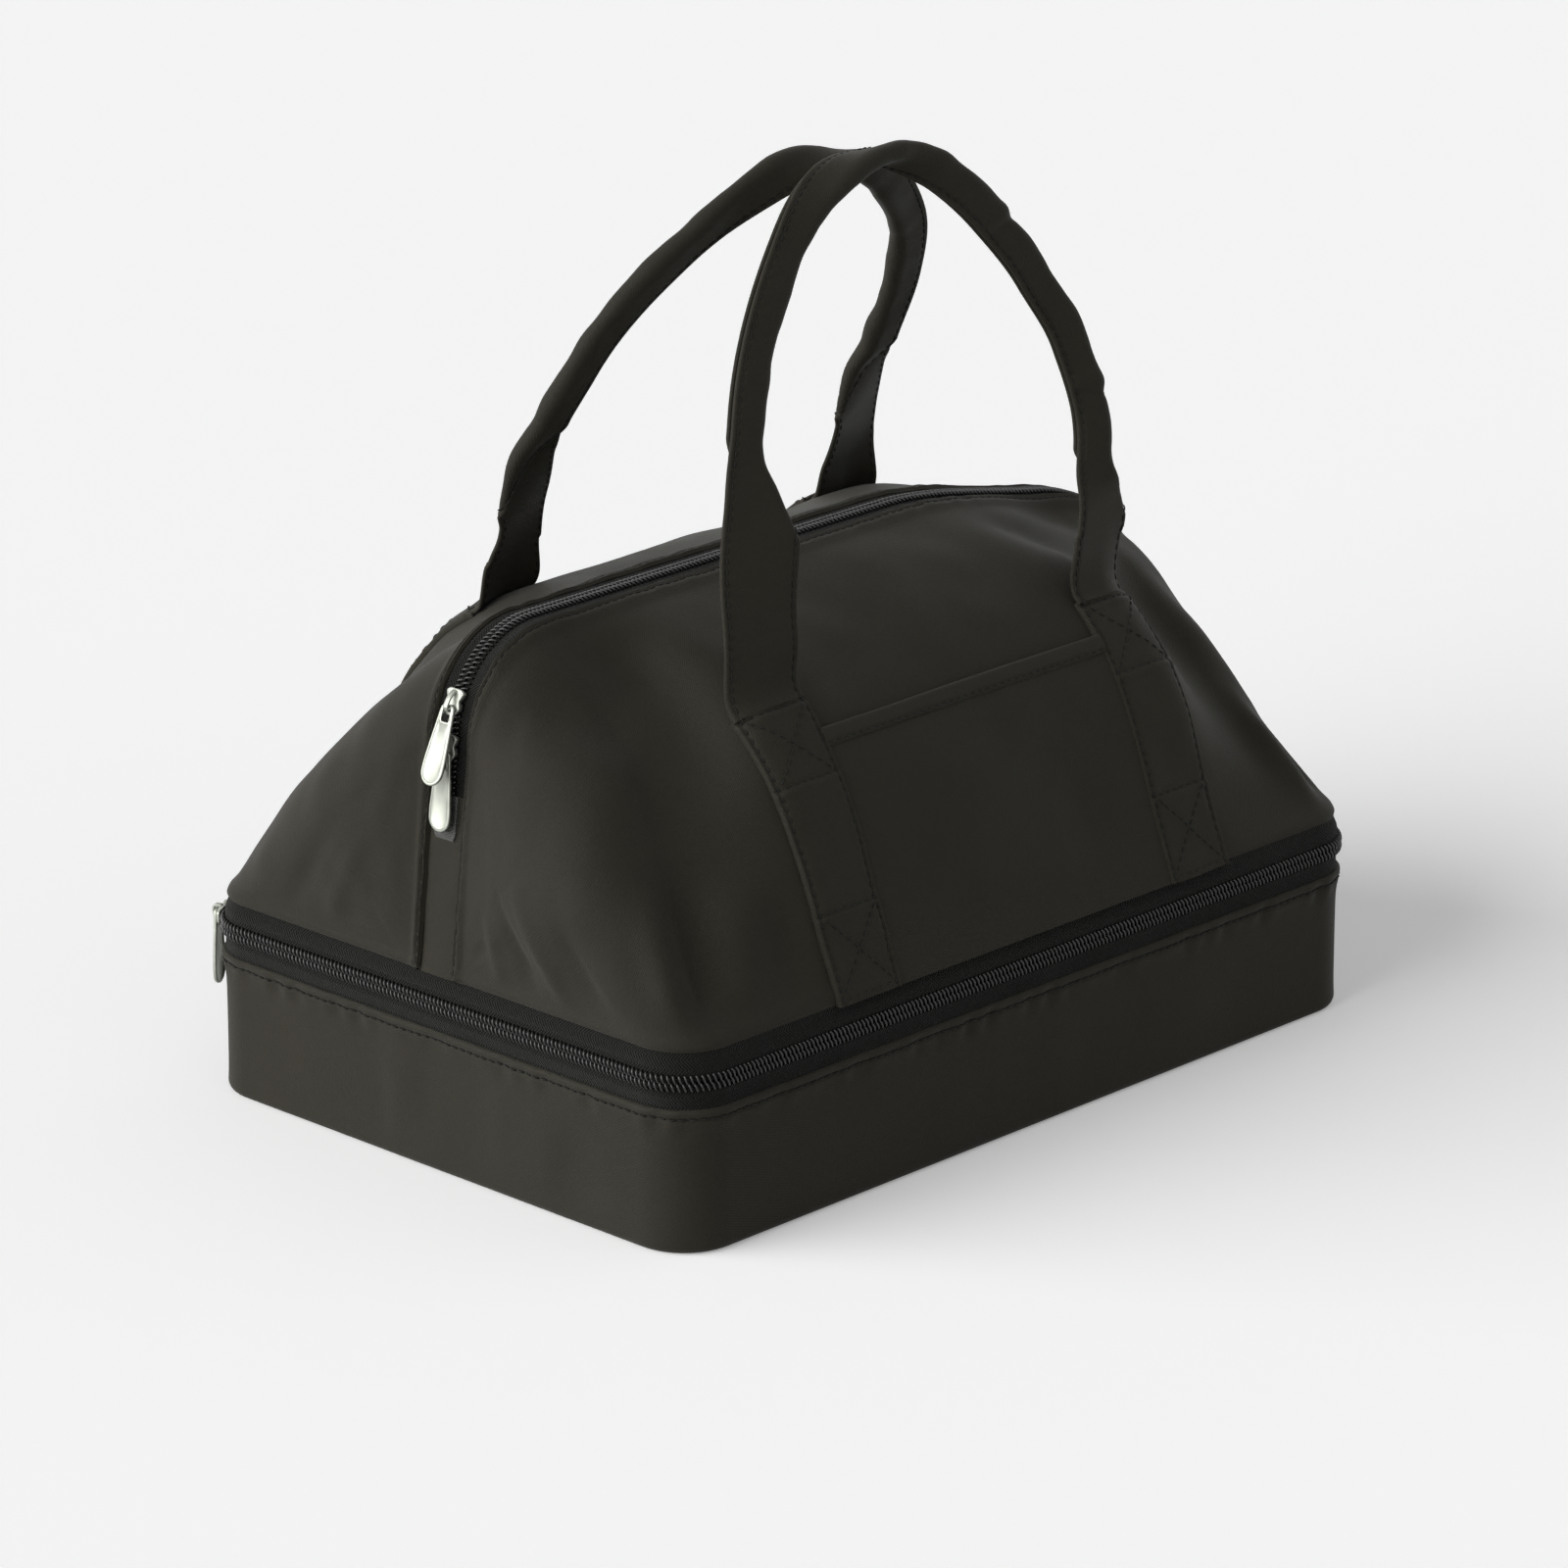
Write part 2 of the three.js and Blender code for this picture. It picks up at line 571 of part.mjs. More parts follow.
// Tray: wall and floor, each of cloth, filling and lining
function buildTray() {
  const foamOut = cloth.shell + fit;
  const foamIn = foamOut + cloth.wallFoam;
  const liningOut = foamIn + fit;
  const liningIn = liningOut + cloth.lining;
  const wallLow = cloth.shell + fit;
  add('tray_floor_cloth', outlinePlate(cloth.shell / 2, 0, cloth.shell), finishes.shell);
  add('tray_wall_cloth', outlineWall(rectangle(0, cloth.shell, wallLow, tray.wallTop)), finishes.shell);
  add('tray_wall_foam', outlineWall(rectangle(foamOut, foamIn, wallLow, tray.wallTop - fit)), finishes.foam);
  add('tray_wall_lining', outlineWall(rectangle(liningOut, liningIn, wallLow, tray.wallTop)), finishes.lining);
  const inside = liningIn + fit;
  const boardLow = wallLow;
  const foamLow = boardLow + cloth.board + fit;
  const liningLow = foamLow + cloth.floorFoam + fit;
  add('tray_floor_board', outlinePlate(inside, boardLow, boardLow + cloth.board), finishes.board);
  add('tray_floor_foam', outlinePlate(inside, foamLow, foamLow + cloth.floorFoam), finishes.foam);
  add('tray_floor_lining', outlinePlate(inside, liningLow, liningLow + cloth.lining), finishes.lining);
}

// Zip round three sides of the tray, and the strip that hinges the bag along the back
function buildTrayZip() {
  const tapeOut = zip.tapeInset;
  const tapeIn = tapeOut + zip.tape;
  const coilIn = tapeOut - fit;
  const coilOut = tapeOut - zip.coilProud;
  const lowEdge = zip.trayHeight - zip.chainGap / 2;
  const highEdge = zip.trayHeight + zip.chainGap / 2;
  const band = (x0, x1, y0, y1) => outlineWall(rectangle(x0, x1, y0, y1), zipStartAngle, zipEndAngle);
  add('tray_zip_lower_tape', band(tapeOut, tapeIn, tray.wallTop + fit, lowEdge), finishes.tape);
  add('tray_zip_lower_coil', band(coilOut, coilIn, lowEdge - zip.coilWidth, lowEdge), finishes.coil);
  add('tray_zip_upper_tape', band(tapeOut, tapeIn, highEdge, bag.seamHeight - 2 * fit), finishes.tape);
  add('tray_zip_upper_coil', band(coilOut, coilIn, highEdge, highEdge + zip.coilWidth), finishes.coil);
  const strip = rectangle(tapeOut, tapeOut + cloth.shell, tray.wallTop + fit, bag.seamHeight - 2 * fit);
  add('back_hinge_strip', outlineWall(strip, hingeStartAngle, hingeEndAngle), finishes.shell);
}

// Floor of the bag, which is also the lid over the dish
function buildDivider() {
  const inset = zip.tapeInset + cloth.shell + 2 * fit;
  const linedHigh = bag.seamHeight - cloth.bagFoam - 2 * fit;
  const linedLow = linedHigh - cloth.lining;
  const boardLow = linedLow - fit - cloth.board;
  const underLow = boardLow - fit - cloth.shell;
  add('divider_lining', outlinePlate(inset, linedLow, linedHigh), finishes.lining);
  add('divider_board', outlinePlate(inset, boardLow, boardLow + cloth.board), finishes.board);
  add('divider_under_cloth', outlinePlate(inset, underLow, underLow + cloth.shell), finishes.shell);
}

function buildBag() {
  const foamOut = cloth.shell + bag.layerGap;
  const foamIn = foamOut + cloth.bagFoam;
  const liningOut = foamIn + bag.layerGap;
  const liningIn = liningOut + cloth.lining;
  const columns = panelColumns(steps.endZone, steps.corner, steps.frontZone);
  for (const back of [false, true]) {
    const name = back ? 'back' : 'front';
    add(`${name}_panel`, panelSheet(0, cloth.shell, columns, steps.rise, back), finishes.shell);
    add(`${name}_panel_foam`, panelSheet(foamOut, foamIn, columns, steps.rise, back), finishes.foam);
    add(`${name}_panel_lining`, panelSheet(liningOut, liningIn, columns, steps.rise, back), finishes.lining);
  }
  const half = bag.stripHalfWidth - fit;
  for (const [name, side] of [['left', -1], ['right', 1]]) {
    const top = zip.topEndHeight - fit;
    add(`${name}_end_strip`, endStrip(side, -half, half, 0, cloth.shell, bag.seamHeight, top), finishes.shell);
    const tabHalf = endTab.width / 2;
    const tab = endStrip(side, -tabHalf, tabHalf, -fit - endTab.thickness, -fit, top - endTab.length, top);
    add(`${name}_zip_end_tab`, tab, finishes.tape);
  }
}

function buildTopZip() {
  const tapeEdge = bag.stripHalfWidth - fit;
  const chainEdge = zip.chainGap / 2;
  for (const [name, side] of [['front', -1], ['back', 1]]) {
    const tape = archStrip(side * tapeEdge, side * chainEdge, zip.tapeInset, zip.tapeInset + zip.tape, zip.topEndHeight);
    add(`top_zip_${name}_tape`, tape, finishes.tape);
    const coil = archStrip(
      side * (chainEdge + zip.coilWidth), side * chainEdge,
      zip.tapeInset - zip.coilProud, zip.tapeInset - fit, zip.topEndHeight,
    );
    add(`top_zip_${name}_coil`, coil, finishes.coil);
  }
}

// Straps sewn to both faces, and the pocket between the two on the front
function buildStrapsAndPocket() {
  const half = strap.width / 2;
  for (const back of [false, true]) {
    for (const [name, side] of [['left', -1], ['right', 1]]) {
      const patch = facePatch({
        x0: side * strap.spread - half, x1: side * strap.spread + half,
        t0: 0, t1: back ? backStrapTopShare : frontStrapTopShare,
        xSteps: steps.strap, tSteps: steps.rise, outer: -fit - cloth.webbing, inner: -fit, back,
      });
      add(`${back ? 'back' : 'front'}_${name}_sewn_strap`, patch, finishes.shell);
    }
  }
  const pocketHalf = strap.spread - half - fit;
  const hemLow = pocket.topShare - pocket.hemHeightShare;
  const middle = 0.5;
  const fitShare = fit / facePoint(middle, 0).distanceTo(facePoint(middle, 1));
  const pocketPatch = (t0, t1, tSteps, thickness) => facePatch({
    x0: -pocketHalf, x1: pocketHalf, t0, t1, xSteps: steps.pocket, tSteps,
    outer: -fit - thickness, inner: -fit, back: false,
  });
  add('front_pocket', pocketPatch(0, hemLow - fitShare, steps.rise, cloth.shell), finishes.shell);
  add('front_pocket_hem', pocketPatch(hemLow, pocket.topShare, steps.hemRows, cloth.hem), finishes.shell);
}

// Slider and tab on a frame given by the zip's surface point, the way the tab hangs and the way out
function placeSlider(name, { at, down, out, track, withWing, bailAhead }) {
  const frame = (forward) => new THREE.Matrix4().makeBasis(forward, out.clone().cross(forward), out).setPosition(at);
  const loopSide = down.clone().multiplyScalar(Math.sign(bailAhead));
  const bailTurn = Math.atan2(out.dot(track.clone().cross(loopSide)), track.dot(loopSide));
  add(`${name}_slider`, sliderGeometry({ withWing, bailTurn }).applyMatrix4(frame(track)), finishes.metal);
  const hang = new THREE.Matrix4().makeTranslation(bailAhead, 0, axisHeight);
  add(`${name}_pull`, pullGeometry().applyMatrix4(hang).applyMatrix4(frame(down)), finishes.metal);
}

function buildSliders() {
  const park = outlineStations(parkAngle, parkAngle + 1)[0];
  const out = new THREE.Vector3(Math.cos(park.angle), Math.sin(park.angle), 0);
  const up = new THREE.Vector3(0, 0, 1);
  placeSlider('tray', {
    at: outlinePoint(park, zip.tapeInset, zip.trayHeight),
    down: up.clone().negate(),
    out,
    track: up.clone().cross(out),
    withWing: false,
    bailAhead: -slider.axisAhead,
  });
  const tilt = THREE.MathUtils.degToRad(topParkDegrees);
  const topOut = new THREE.Vector3(-Math.cos(tilt), 0, Math.sin(tilt));
  const topDown = new THREE.Vector3(-Math.sin(tilt), 0, -Math.cos(tilt));
  const centre = new THREE.Vector3(-shoulderX, 0, bag.shoulderZ);
  placeSlider('top', {
    at: centre.clone().addScaledVector(topOut, bag.shoulderRadius - zip.tapeInset),
    down: topDown, out: topOut, track: topDown, withWing: true, bailAhead: slider.axisAhead,
  });
  const shoulder = new THREE.Vector3(-endLineX(bag.shoulderZ), 0, bag.shoulderZ);
  const down = new THREE.Vector3(-endLineX(bag.seamHeight), 0, bag.seamHeight).sub(shoulder).normalize();
  const lowerOut = new THREE.Vector3(down.z, 0, -down.x);
  const lowerAt = shoulder.clone()
    .addScaledVector(down, lowerSliderDrop)
    .addScaledVector(lowerOut, -zip.tapeInset);
  placeSlider('lower_top', {
    at: lowerAt, down, out: lowerOut, track: down, withWing: true, bailAhead: slider.axisAhead,
  });
}

buildTray();
buildTrayZip();
buildDivider();
buildBag();
buildTopZip();
buildStrapsAndPocket();
add('front_handle', handleGeometry(frontLoop, false), finishes.shell);
add('back_handle', handleGeometry(backLoop, true), finishes.shell);
buildSliders();

export default carrier;
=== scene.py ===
"""Casserole carrier: the cloth, zips, handles and metal tabs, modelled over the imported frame.

Metres, +Z up, front at -Y. The shapes follow the same seams and sizes as the frame's solids.
"""
import math

import bmesh
import bpy
import numpy as np
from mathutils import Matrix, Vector


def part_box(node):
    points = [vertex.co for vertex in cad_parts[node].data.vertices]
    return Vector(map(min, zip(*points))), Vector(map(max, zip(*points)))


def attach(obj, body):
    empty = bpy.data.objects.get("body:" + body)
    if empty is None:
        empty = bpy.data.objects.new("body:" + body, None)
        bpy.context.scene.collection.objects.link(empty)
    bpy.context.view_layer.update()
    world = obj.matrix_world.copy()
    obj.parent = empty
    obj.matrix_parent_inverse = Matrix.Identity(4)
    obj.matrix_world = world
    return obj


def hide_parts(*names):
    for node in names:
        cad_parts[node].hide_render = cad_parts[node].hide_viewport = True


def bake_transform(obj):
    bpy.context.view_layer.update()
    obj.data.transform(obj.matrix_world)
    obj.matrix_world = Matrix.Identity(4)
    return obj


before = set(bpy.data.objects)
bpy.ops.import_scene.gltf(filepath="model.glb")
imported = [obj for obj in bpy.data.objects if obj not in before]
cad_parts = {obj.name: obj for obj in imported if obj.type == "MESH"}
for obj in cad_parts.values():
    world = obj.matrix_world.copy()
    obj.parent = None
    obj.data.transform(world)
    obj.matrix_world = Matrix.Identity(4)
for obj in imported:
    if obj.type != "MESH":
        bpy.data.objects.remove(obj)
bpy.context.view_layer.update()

# Camera, set to the photograph's angle
PHOTO_WIDTH = 1600
FOCAL_PIXELS = 8203.1
SENSOR_WIDTH = 36.0
CAMERA_AZIMUTH = math.radians(-46.102)
CAMERA_ELEVATION = math.radians(19.283)
CAMERA_DISTANCE = 3.6061
CAMERA_AIM = Vector((0.00536, 0.00815, 0.120))


def add_object(name, data):
    added = bpy.data.objects.new(name, data)
    bpy.context.collection.objects.link(added)
    return added


def add_camera():
    back = Vector((
        math.sin(CAMERA_AZIMUTH) * math.cos(CAMERA_ELEVATION),
        -math.cos(CAMERA_AZIMUTH) * math.cos(CAMERA_ELEVATION),
        math.sin(CAMERA_ELEVATION),
    ))
    camera = add_object("camera", bpy.data.cameras.new("camera"))
    camera.location = CAMERA_AIM + back * CAMERA_DISTANCE
    camera.rotation_euler = (-back).to_track_quat("-Z", "Y").to_euler()
    camera.data.sensor_width = SENSOR_WIDTH
    camera.data.lens = FOCAL_PIXELS / PHOTO_WIDTH * SENSOR_WIDTH
    camera.data.clip_start = 0.1
    camera.data.clip_end = 50.0
    bpy.context.scene.camera = camera


add_camera()

# Sizes read from the frame
TRAY_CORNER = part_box("tray_wall_cloth")[1]
HALF_LENGTH, HALF_DEPTH, WALL_TOP = TRAY_CORNER
SEAM_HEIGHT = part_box("front_panel")[0].z
SEWN_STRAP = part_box("front_left_sewn_strap")
STRAP_WIDTH = SEWN_STRAP[1].x - SEWN_STRAP[0].x

# Sizes of the cloth work
CORNER_RADIUS = 0.027
SEAM_INSET = 0.001
STRIP_HALF_WIDTH = 0.010
STRIP_DROP = 0.0004
SHOULDER_X = 0.161
SHOULDER_Z = 0.195
SHOULDER_RADIUS = 0.046
FRONT_BULGE = 0.037
LEFT_BULGE = 0.010
RIGHT_BULGE = -0.003
SAG_DROP = 0.020
SAG_FROM, SAG_FULL = 0.060, 0.200
SAG_FROM_SHARE = 0.71
END_SHARE = 0.17
CORNER_SHARE = 0.10
FRONT_SHARE = 0.5 - END_SHARE - CORNER_SHARE
BULGE_SKEW_SHARE = 0.25
FULL_BULGE_SHARE = 0.62
LEVEL_SHARE = 0.12
SMALL_SHARE = 1e-3
TIP_SHARE = 5e-3

CLOTH = 0.0012
LINING = 0.0008
BAG_FOAM = 0.003
WALL_FOAM = 0.004
WEBBING = 0.0022
FIT = 0.0003
UNDER_GAP = 0.0001
LAYER_GAP = 0.0006

STRAP_SPREAD = 0.107
FRONT_STRAP_TOP_SHARE = 0.61
BACK_STRAP_TOP_SHARE = 0.71
POCKET_TOP_SHARE = 0.53
POCKET_HEM_SHARE = 0.045

TAPE = 0.0008
TAPE_INSET = 0.0006
CHAIN_GAP = 0.001
TRAY_ZIP_HEIGHT = 0.078
TOP_ZIP_END_HEIGHT = 0.172
COIL_PITCH = 0.0024
COIL_WIRE_RADIUS = 0.00053
ZIP_START_ANGLE = 104
ZIP_END_ANGLE = 436
HINGE_START_ANGLE = 76.8
HINGE_END_ANGLE = 103.2

STITCH_SPACING = 0.0046
STITCH_LENGTH = 0.0029
THREAD_RADIUS = 0.00038
EDGE_STITCH = 0.0027


# Helpers for shapes
def smooth(x, low, high):
    t = np.clip((np.asarray(x, float) - low) / (high - low), 0, 1)
    return t * t * (3 - 2 * t)


def mix(a, b, share):
    return a + (b - a) * share


def bump(x, width):
    return np.exp(-(np.asarray(x, float) / width) ** 2)


def soft_noise(u, v, size, seed):
    """Smooth random relief between -1 and 1, with hills about as wide as size."""
    cells = 64
    table = np.random.default_rng(seed).uniform(-1, 1, (cells, cells))
    x, y = same_shape(np.asarray(u, float) / size, np.asarray(v, float) / size)
    i, j = np.floor(x).astype(int), np.floor(y).astype(int)
    fx, fy = smooth(x - i, 0, 1), smooth(y - j, 0, 1)
    i0, i1, j0, j1 = i % cells, (i + 1) % cells, j % cells, (j + 1) % cells
    low = mix(table[i0, j0], table[i1, j0], fx)
    high = mix(table[i0, j1], table[i1, j1], fx)
    return mix(low, high, fy)


def same_shape(*values):
    """The values as arrays of one shape."""
    return np.broadcast_arrays(*(np.asarray(value, float) for value in values))


def unit(vectors):
    return vectors / np.maximum(np.linalg.norm(vectors, axis=-1, keepdims=True), 1e-12)


def square_to(vectors):
    """Vectors in a plane, turned a quarter to the left."""
    return np.stack([-vectors[:, 1], vectors[:, 0]], 1)


def points_at(places, run, points):
    """Points at places along a line whose points have the given running lengths."""
    return np.stack([np.interp(places, run, column) for column in points.T], -1)


def lengths_along(points):
    """Running length along the first axis of an array of points."""
    steps = np.linalg.norm(np.diff(points, axis=0), axis=-1)
    return np.concatenate([np.zeros((1, *steps.shape[1:])), np.cumsum(steps, axis=0)])


# Helpers for pieces
def make_piece(
    name, vertices, faces, corners_uv, material, body=None, slot=None, replaces=(), sharp=50, rub=None,
):
    """Mesh object from vertices, faces and a UV point for each corner of each face; rub marks paler spots,
    partly edge wear and partly painted highlight along rounded edges and fold crests.
    """
    mesh = bpy.data.meshes.new(name)
    mesh.from_pydata([tuple(v) for v in vertices], [], [tuple(f) for f in faces])
    # The rub mask pales the cloth: partly wear, partly painted highlight.
    if rub is not None:
        wear_and_highlight_amount = mesh.attributes.new("rub", "FLOAT", "POINT")
        wear_and_highlight_amount.data.foreach_set("value", np.asarray(rub, np.float32).ravel())
    uv = mesh.uv_layers.new(name="cloth")
    uv.data.foreach_set("uv", np.asarray(corners_uv, np.float32).ravel())
    shape = bmesh.new()
    shape.from_mesh(mesh)
    bmesh.ops.remove_doubles(shape, verts=shape.verts, dist=1e-6)
    if shape.calc_volume(signed=True) < 0:
        bmesh.ops.reverse_faces(shape, faces=shape.faces)
    shape.to_mesh(mesh)
    shape.free()
    mesh.shade_smooth()
    mesh.set_sharp_from_angle(angle=math.radians(sharp))
    mesh.materials.append(material)
    return settle(add_object(name, mesh), body, replaces)


def settle(piece, body=None, replaces=()):
    if body:
        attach(piece, body)
    if replaces:
        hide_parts(*replaces)
    return piece


def closed_sheet(name, outer, inner, uv, material, wrap=False, rub=None, **how):
    """Cloth of real thickness between two grids of points; wrap joins the last column to the first."""
    if rub is not None:
        how["rub"] = np.concatenate([rub.ravel(), np.zeros(rub.size)])
    rows, columns = outer.shape[:2]
    under = rows * columns
    span = columns if wrap else columns - 1
    i, j = np.meshgrid(np.arange(rows - 1), np.arange(span), indexing="ij")
    i, j = i.ravel(), j.ravel()
    k = (j + 1) % columns
    top = np.stack([i * columns + j, i * columns + k, (i + 1) * columns + k, (i + 1) * columns + j], 1)
    top_uv = np.stack([uv[i, j], uv[i, j + 1], uv[i + 1, j + 1], uv[i + 1, j]], 1)
    faces = [top, top[:, ::-1] + under]
    corners = [top_uv, top_uv[:, ::-1]]

    def rim(a, b, uv_a, uv_b):
        faces.append(np.stack([b, a, a + under, b + under], 1))
        corners.append(np.stack([uv_b, uv_a, uv_a, uv_b], 1))

    j = np.arange(span)
    k = (j + 1) % columns
    rim(j, k, uv[0, j], uv[0, j + 1])
    last = (rows - 1) * columns
    rim(last + k, last + j, uv[-1, j + 1], uv[-1, j])
    if not wrap:
        i = np.arange(rows - 1)
        rim((i + 1) * columns, i * columns, uv[i + 1, 0], uv[i, 0])
        end = columns - 1
        rim(i * columns + end, (i + 1) * columns + end, uv[i, end], uv[i + 1, end])
    vertices = np.concatenate([outer.reshape(-1, 3), inner.reshape(-1, 3)])
    return make_piece(name, vertices, np.concatenate(faces), np.concatenate(corners), material, **how)


def ring_loft(rings, wrap_rings=False):
    """Vertices, faces and corner UVs of a closed tube through rings of equal counts of points."""
    count, around = rings.shape[:2]
    spans = count if wrap_rings else count - 1
    i, j = np.meshgrid(np.arange(spans), np.arange(around), indexing="ij")
    i, j = i.ravel(), j.ravel()
    n, k = (i + 1) % count, (j + 1) % around
    faces = np.stack([i * around + j, i * around + k, n * around + k, n * around + j], 1).tolist()
    along = lengths_along(rings.mean(axis=1))
    round_ = np.linspace(0, np.linalg.norm(rings[0] - np.roll(rings[0], 1, 0), axis=1).sum(), around + 1)
    if wrap_rings:
        along = np.append(along, along[-1] + np.linalg.norm(rings[-1].mean(0) - rings[0].mean(0)))
    steps = ((0, 0), (0, 1), (1, 1), (1, 0))
    corners = [(along[a + da], round_[b + db]) for a, b in zip(i, j) for da, db in steps]
    if not wrap_rings:
        for start, order in ((0, -1), ((count - 1) * around, 1)):
            ring = list(range(start, start + around))[::order]
            faces.append(ring)
            corners += [(0.0, 0.0)] * around
    return rings.reshape(-1, 3), faces, corners


# Lines of stitches, gathered for each body they ride on
SEAMS = {}


def sew(body, points, normals):
    SEAMS.setdefault(body, []).append((points, normals))


# Outline of the tray seen from above
STRAIGHT_X = 2 * (HALF_LENGTH - CORNER_RADIUS)
STRAIGHT_Y = 2 * (HALF_DEPTH - CORNER_RADIUS)
QUARTER_ARC = CORNER_RADIUS * math.pi / 2
PERIMETER = 2 * (STRAIGHT_X + STRAIGHT_Y) + 4 * QUARTER_ARC


def outline_length(degrees):
    """Length along the outline at an angle, with the four corners joined up."""
    turn, rest = divmod(degrees, 90)
    whole, corner = divmod(int(turn), 4)
    before = [0, STRAIGHT_X, STRAIGHT_X + STRAIGHT_Y, 2 * STRAIGHT_X + STRAIGHT_Y][corner]
    return whole * PERIMETER + before + corner * QUARTER_ARC + rest / 90 * QUARTER_ARC


def outline(length, inward=0.0):
    """Points (x, y) and outward normals at lengths along the outline.

    It starts at the right end's back corner.
    """
    d = np.mod(np.asarray(length, float), PERIMETER)
    x, y, nx, ny = (np.zeros_like(d) for _ in range(4))
    half_x, half_y = STRAIGHT_X / 2, STRAIGHT_Y / 2
    centres = [(half_x, half_y), (-half_x, half_y), (-half_x, -half_y), (half_x, -half_y)]
    runs = [(-STRAIGHT_X, 0), (0, -STRAIGHT_Y), (STRAIGHT_X, 0), (0, STRAIGHT_Y)]
    start = 0.0
    for corner, ((cx, cy), (rx, ry)) in enumerate(zip(centres, runs)):
        straight = abs(rx) + abs(ry)
        angle = corner * math.pi / 2 + np.clip((d - start) / CORNER_RADIUS, 0, math.pi / 2)
        along = np.clip((d - start - QUARTER_ARC) / straight, 0, 1)
        here = (d >= start) & (d <= start + QUARTER_ARC + straight)
        x = np.where(here, cx + rx * along, x)
        y = np.where(here, cy + ry * along, y)
        nx = np.where(here, np.cos(angle), nx)
        ny = np.where(here, np.sin(angle), ny)
        start += QUARTER_ARC + straight
    reach = CORNER_RADIUS - inward
    return x + nx * reach, y + ny * reach, nx, ny


def outline_grid(lengths, inward, height):
    """Grid of points whose rows follow profiles (inward, height) and whose columns follow the outline."""
    inward, height = np.broadcast_arrays(inward, height)
    x, y, _, _ = outline(np.broadcast_to(lengths, inward.shape), inward)
    return np.stack([x, y, np.asarray(height, float)], -1)


def outline_normals(lengths):
    _, _, nx, ny = outline(lengths)
    return np.stack([nx, ny, 0 * nx], -1)


def lengths_round(columns):
    """Lengths of even columns all the way round the outline."""
    return np.arange(columns) * PERIMETER / columns


def uv_round(lengths, rise):
    """UV points of a sheet that goes all the way round."""
    rise = np.concatenate([rise, rise[:, :1]], 1)
    return np.stack([np.broadcast_to(np.append(lengths, PERIMETER), rise.shape), rise], -1)


# Front and back of the bag: two seams and the bulging face between them
def seam_points(share):
    side = np.where(share > 0.5, 1.0, -1.0)
    s = np.where(share > 0.5, 1 - share, share)
    half_x, half_y = STRAIGHT_X / 2, STRAIGHT_Y / 2
    reach = CORNER_RADIUS - SEAM_INSET
    seam_x = half_x + reach
    end = np.clip(s / END_SHARE, 0, 1)
    angle = np.clip((s - END_SHARE) / CORNER_SHARE, 0, 1) * math.pi / 2
    front = np.clip((0.5 - s) / FRONT_SHARE, 0, 1)
    on_end = s <= END_SHARE
    on_corner = ~on_end & (s <= END_SHARE + CORNER_SHARE)
    cos, sin = np.cos(angle), np.sin(angle)

    def by_zone(at_end, at_corner, at_front):
        return np.select([on_end, on_corner], [at_end, at_corner], at_front)

    low_x = by_zone(seam_x, half_x + reach * cos, half_x * front)
    low_y = by_zone(mix(STRIP_HALF_WIDTH, half_y, end), half_y + reach * sin, half_y + reach)
    high_x = by_zone(
        mix(seam_x, SHOULDER_X + SHOULDER_RADIUS, end),
        SHOULDER_X + SHOULDER_RADIUS * cos,
        SHOULDER_X * front,
    )
    high_z = by_zone(
        mix(SEAM_HEIGHT, SHOULDER_Z, end),
        SHOULDER_Z + SHOULDER_RADIUS * sin,
        SHOULDER_Z + SHOULDER_RADIUS,
    )
    level = np.full_like(low_x, SEAM_HEIGHT)
    low = np.stack([side * low_x, -low_y, level], -1)
    high = np.stack([side * high_x, np.full_like(high_x, -STRIP_HALF_WIDTH), high_z], -1)
    return low, high


def ridge_sag(x, z):
    """How far a point of the ridge has sunk towards the right end."""
    return SAG_DROP * smooth(x, SAG_FROM, SAG_FULL) * np.clip((z - SHOULDER_Z) / SHOULDER_RADIUS, 0, 1)


def face_point(s, t):
    """Front face of the bag: s runs from left to right along the seams, t from the lower to the upper one."""
    s, t = same_shape(s, t)
    low, high = seam_points(s)
    held = np.clip(s, TIP_SHARE, 1 - TIP_SHARE)
    low_before, high_before = seam_points(held - SMALL_SHARE)
    low_after, high_after = seam_points(held + SMALL_SHARE)
    low_here, high_here = seam_points(held)
    outward = unit(np.cross(low_after - low_before + high_after - high_before, high_here - low_here))
    fullness = 1 - smooth(np.abs(s - 0.5) / FRONT_SHARE, FULL_BULGE_SHARE, 1)
    tip = smooth(np.minimum(s, 1 - s), 0, END_SHARE)
    bulge = mix(tip * np.where(s < 0.5, LEFT_BULGE, RIGHT_BULGE), FRONT_BULGE, fullness)
    curve = np.sin(math.pi * t * (1 - BULGE_SKEW_SHARE + BULGE_SKEW_SHARE * t))
    point = mix(low, high, t[..., None]) + outward * (bulge * curve)[..., None]
    point[..., 2] -= ridge_sag(high[..., 0], high[..., 2]) * smooth(t, SAG_FROM_SHARE, 1)
    return point


def face_normal(s, t):
    """Outward normal of the face, turned level at the seams as the layers are."""
    s, t = same_shape(s, t)
    u = np.clip(s, TIP_SHARE, 1 - TIP_SHARE)
    v = np.clip(t, SMALL_SHARE, 1 - SMALL_SHARE)
    along = face_point(u + SMALL_SHARE, v) - face_point(u - SMALL_SHARE, v)
    across = face_point(u, v + SMALL_SHARE) - face_point(u, v - SMALL_SHARE)
    normal = unit(np.cross(along, across))
    from_tip = smooth(np.minimum(s, 1 - s), 0, END_SHARE * LEVEL_SHARE)
    normal[..., 2] *= from_tip * smooth(t, 0, LEVEL_SHARE)
    normal[..., 1] *= from_tip * smooth(1 - t, 0, LEVEL_SHARE)
    return unit(normal)


def share_at(x, t):
    """Share along the seams of a point of the front that lies x from its middle."""
    return 0.5 + x / mix(STRAIGHT_X / 2, SHOULDER_X, t) * FRONT_SHARE


def seam_to_seam(s):
    low, high = seam_points(np.asarray(s, float))
    return np.linalg.norm(high - low, axis=-1)


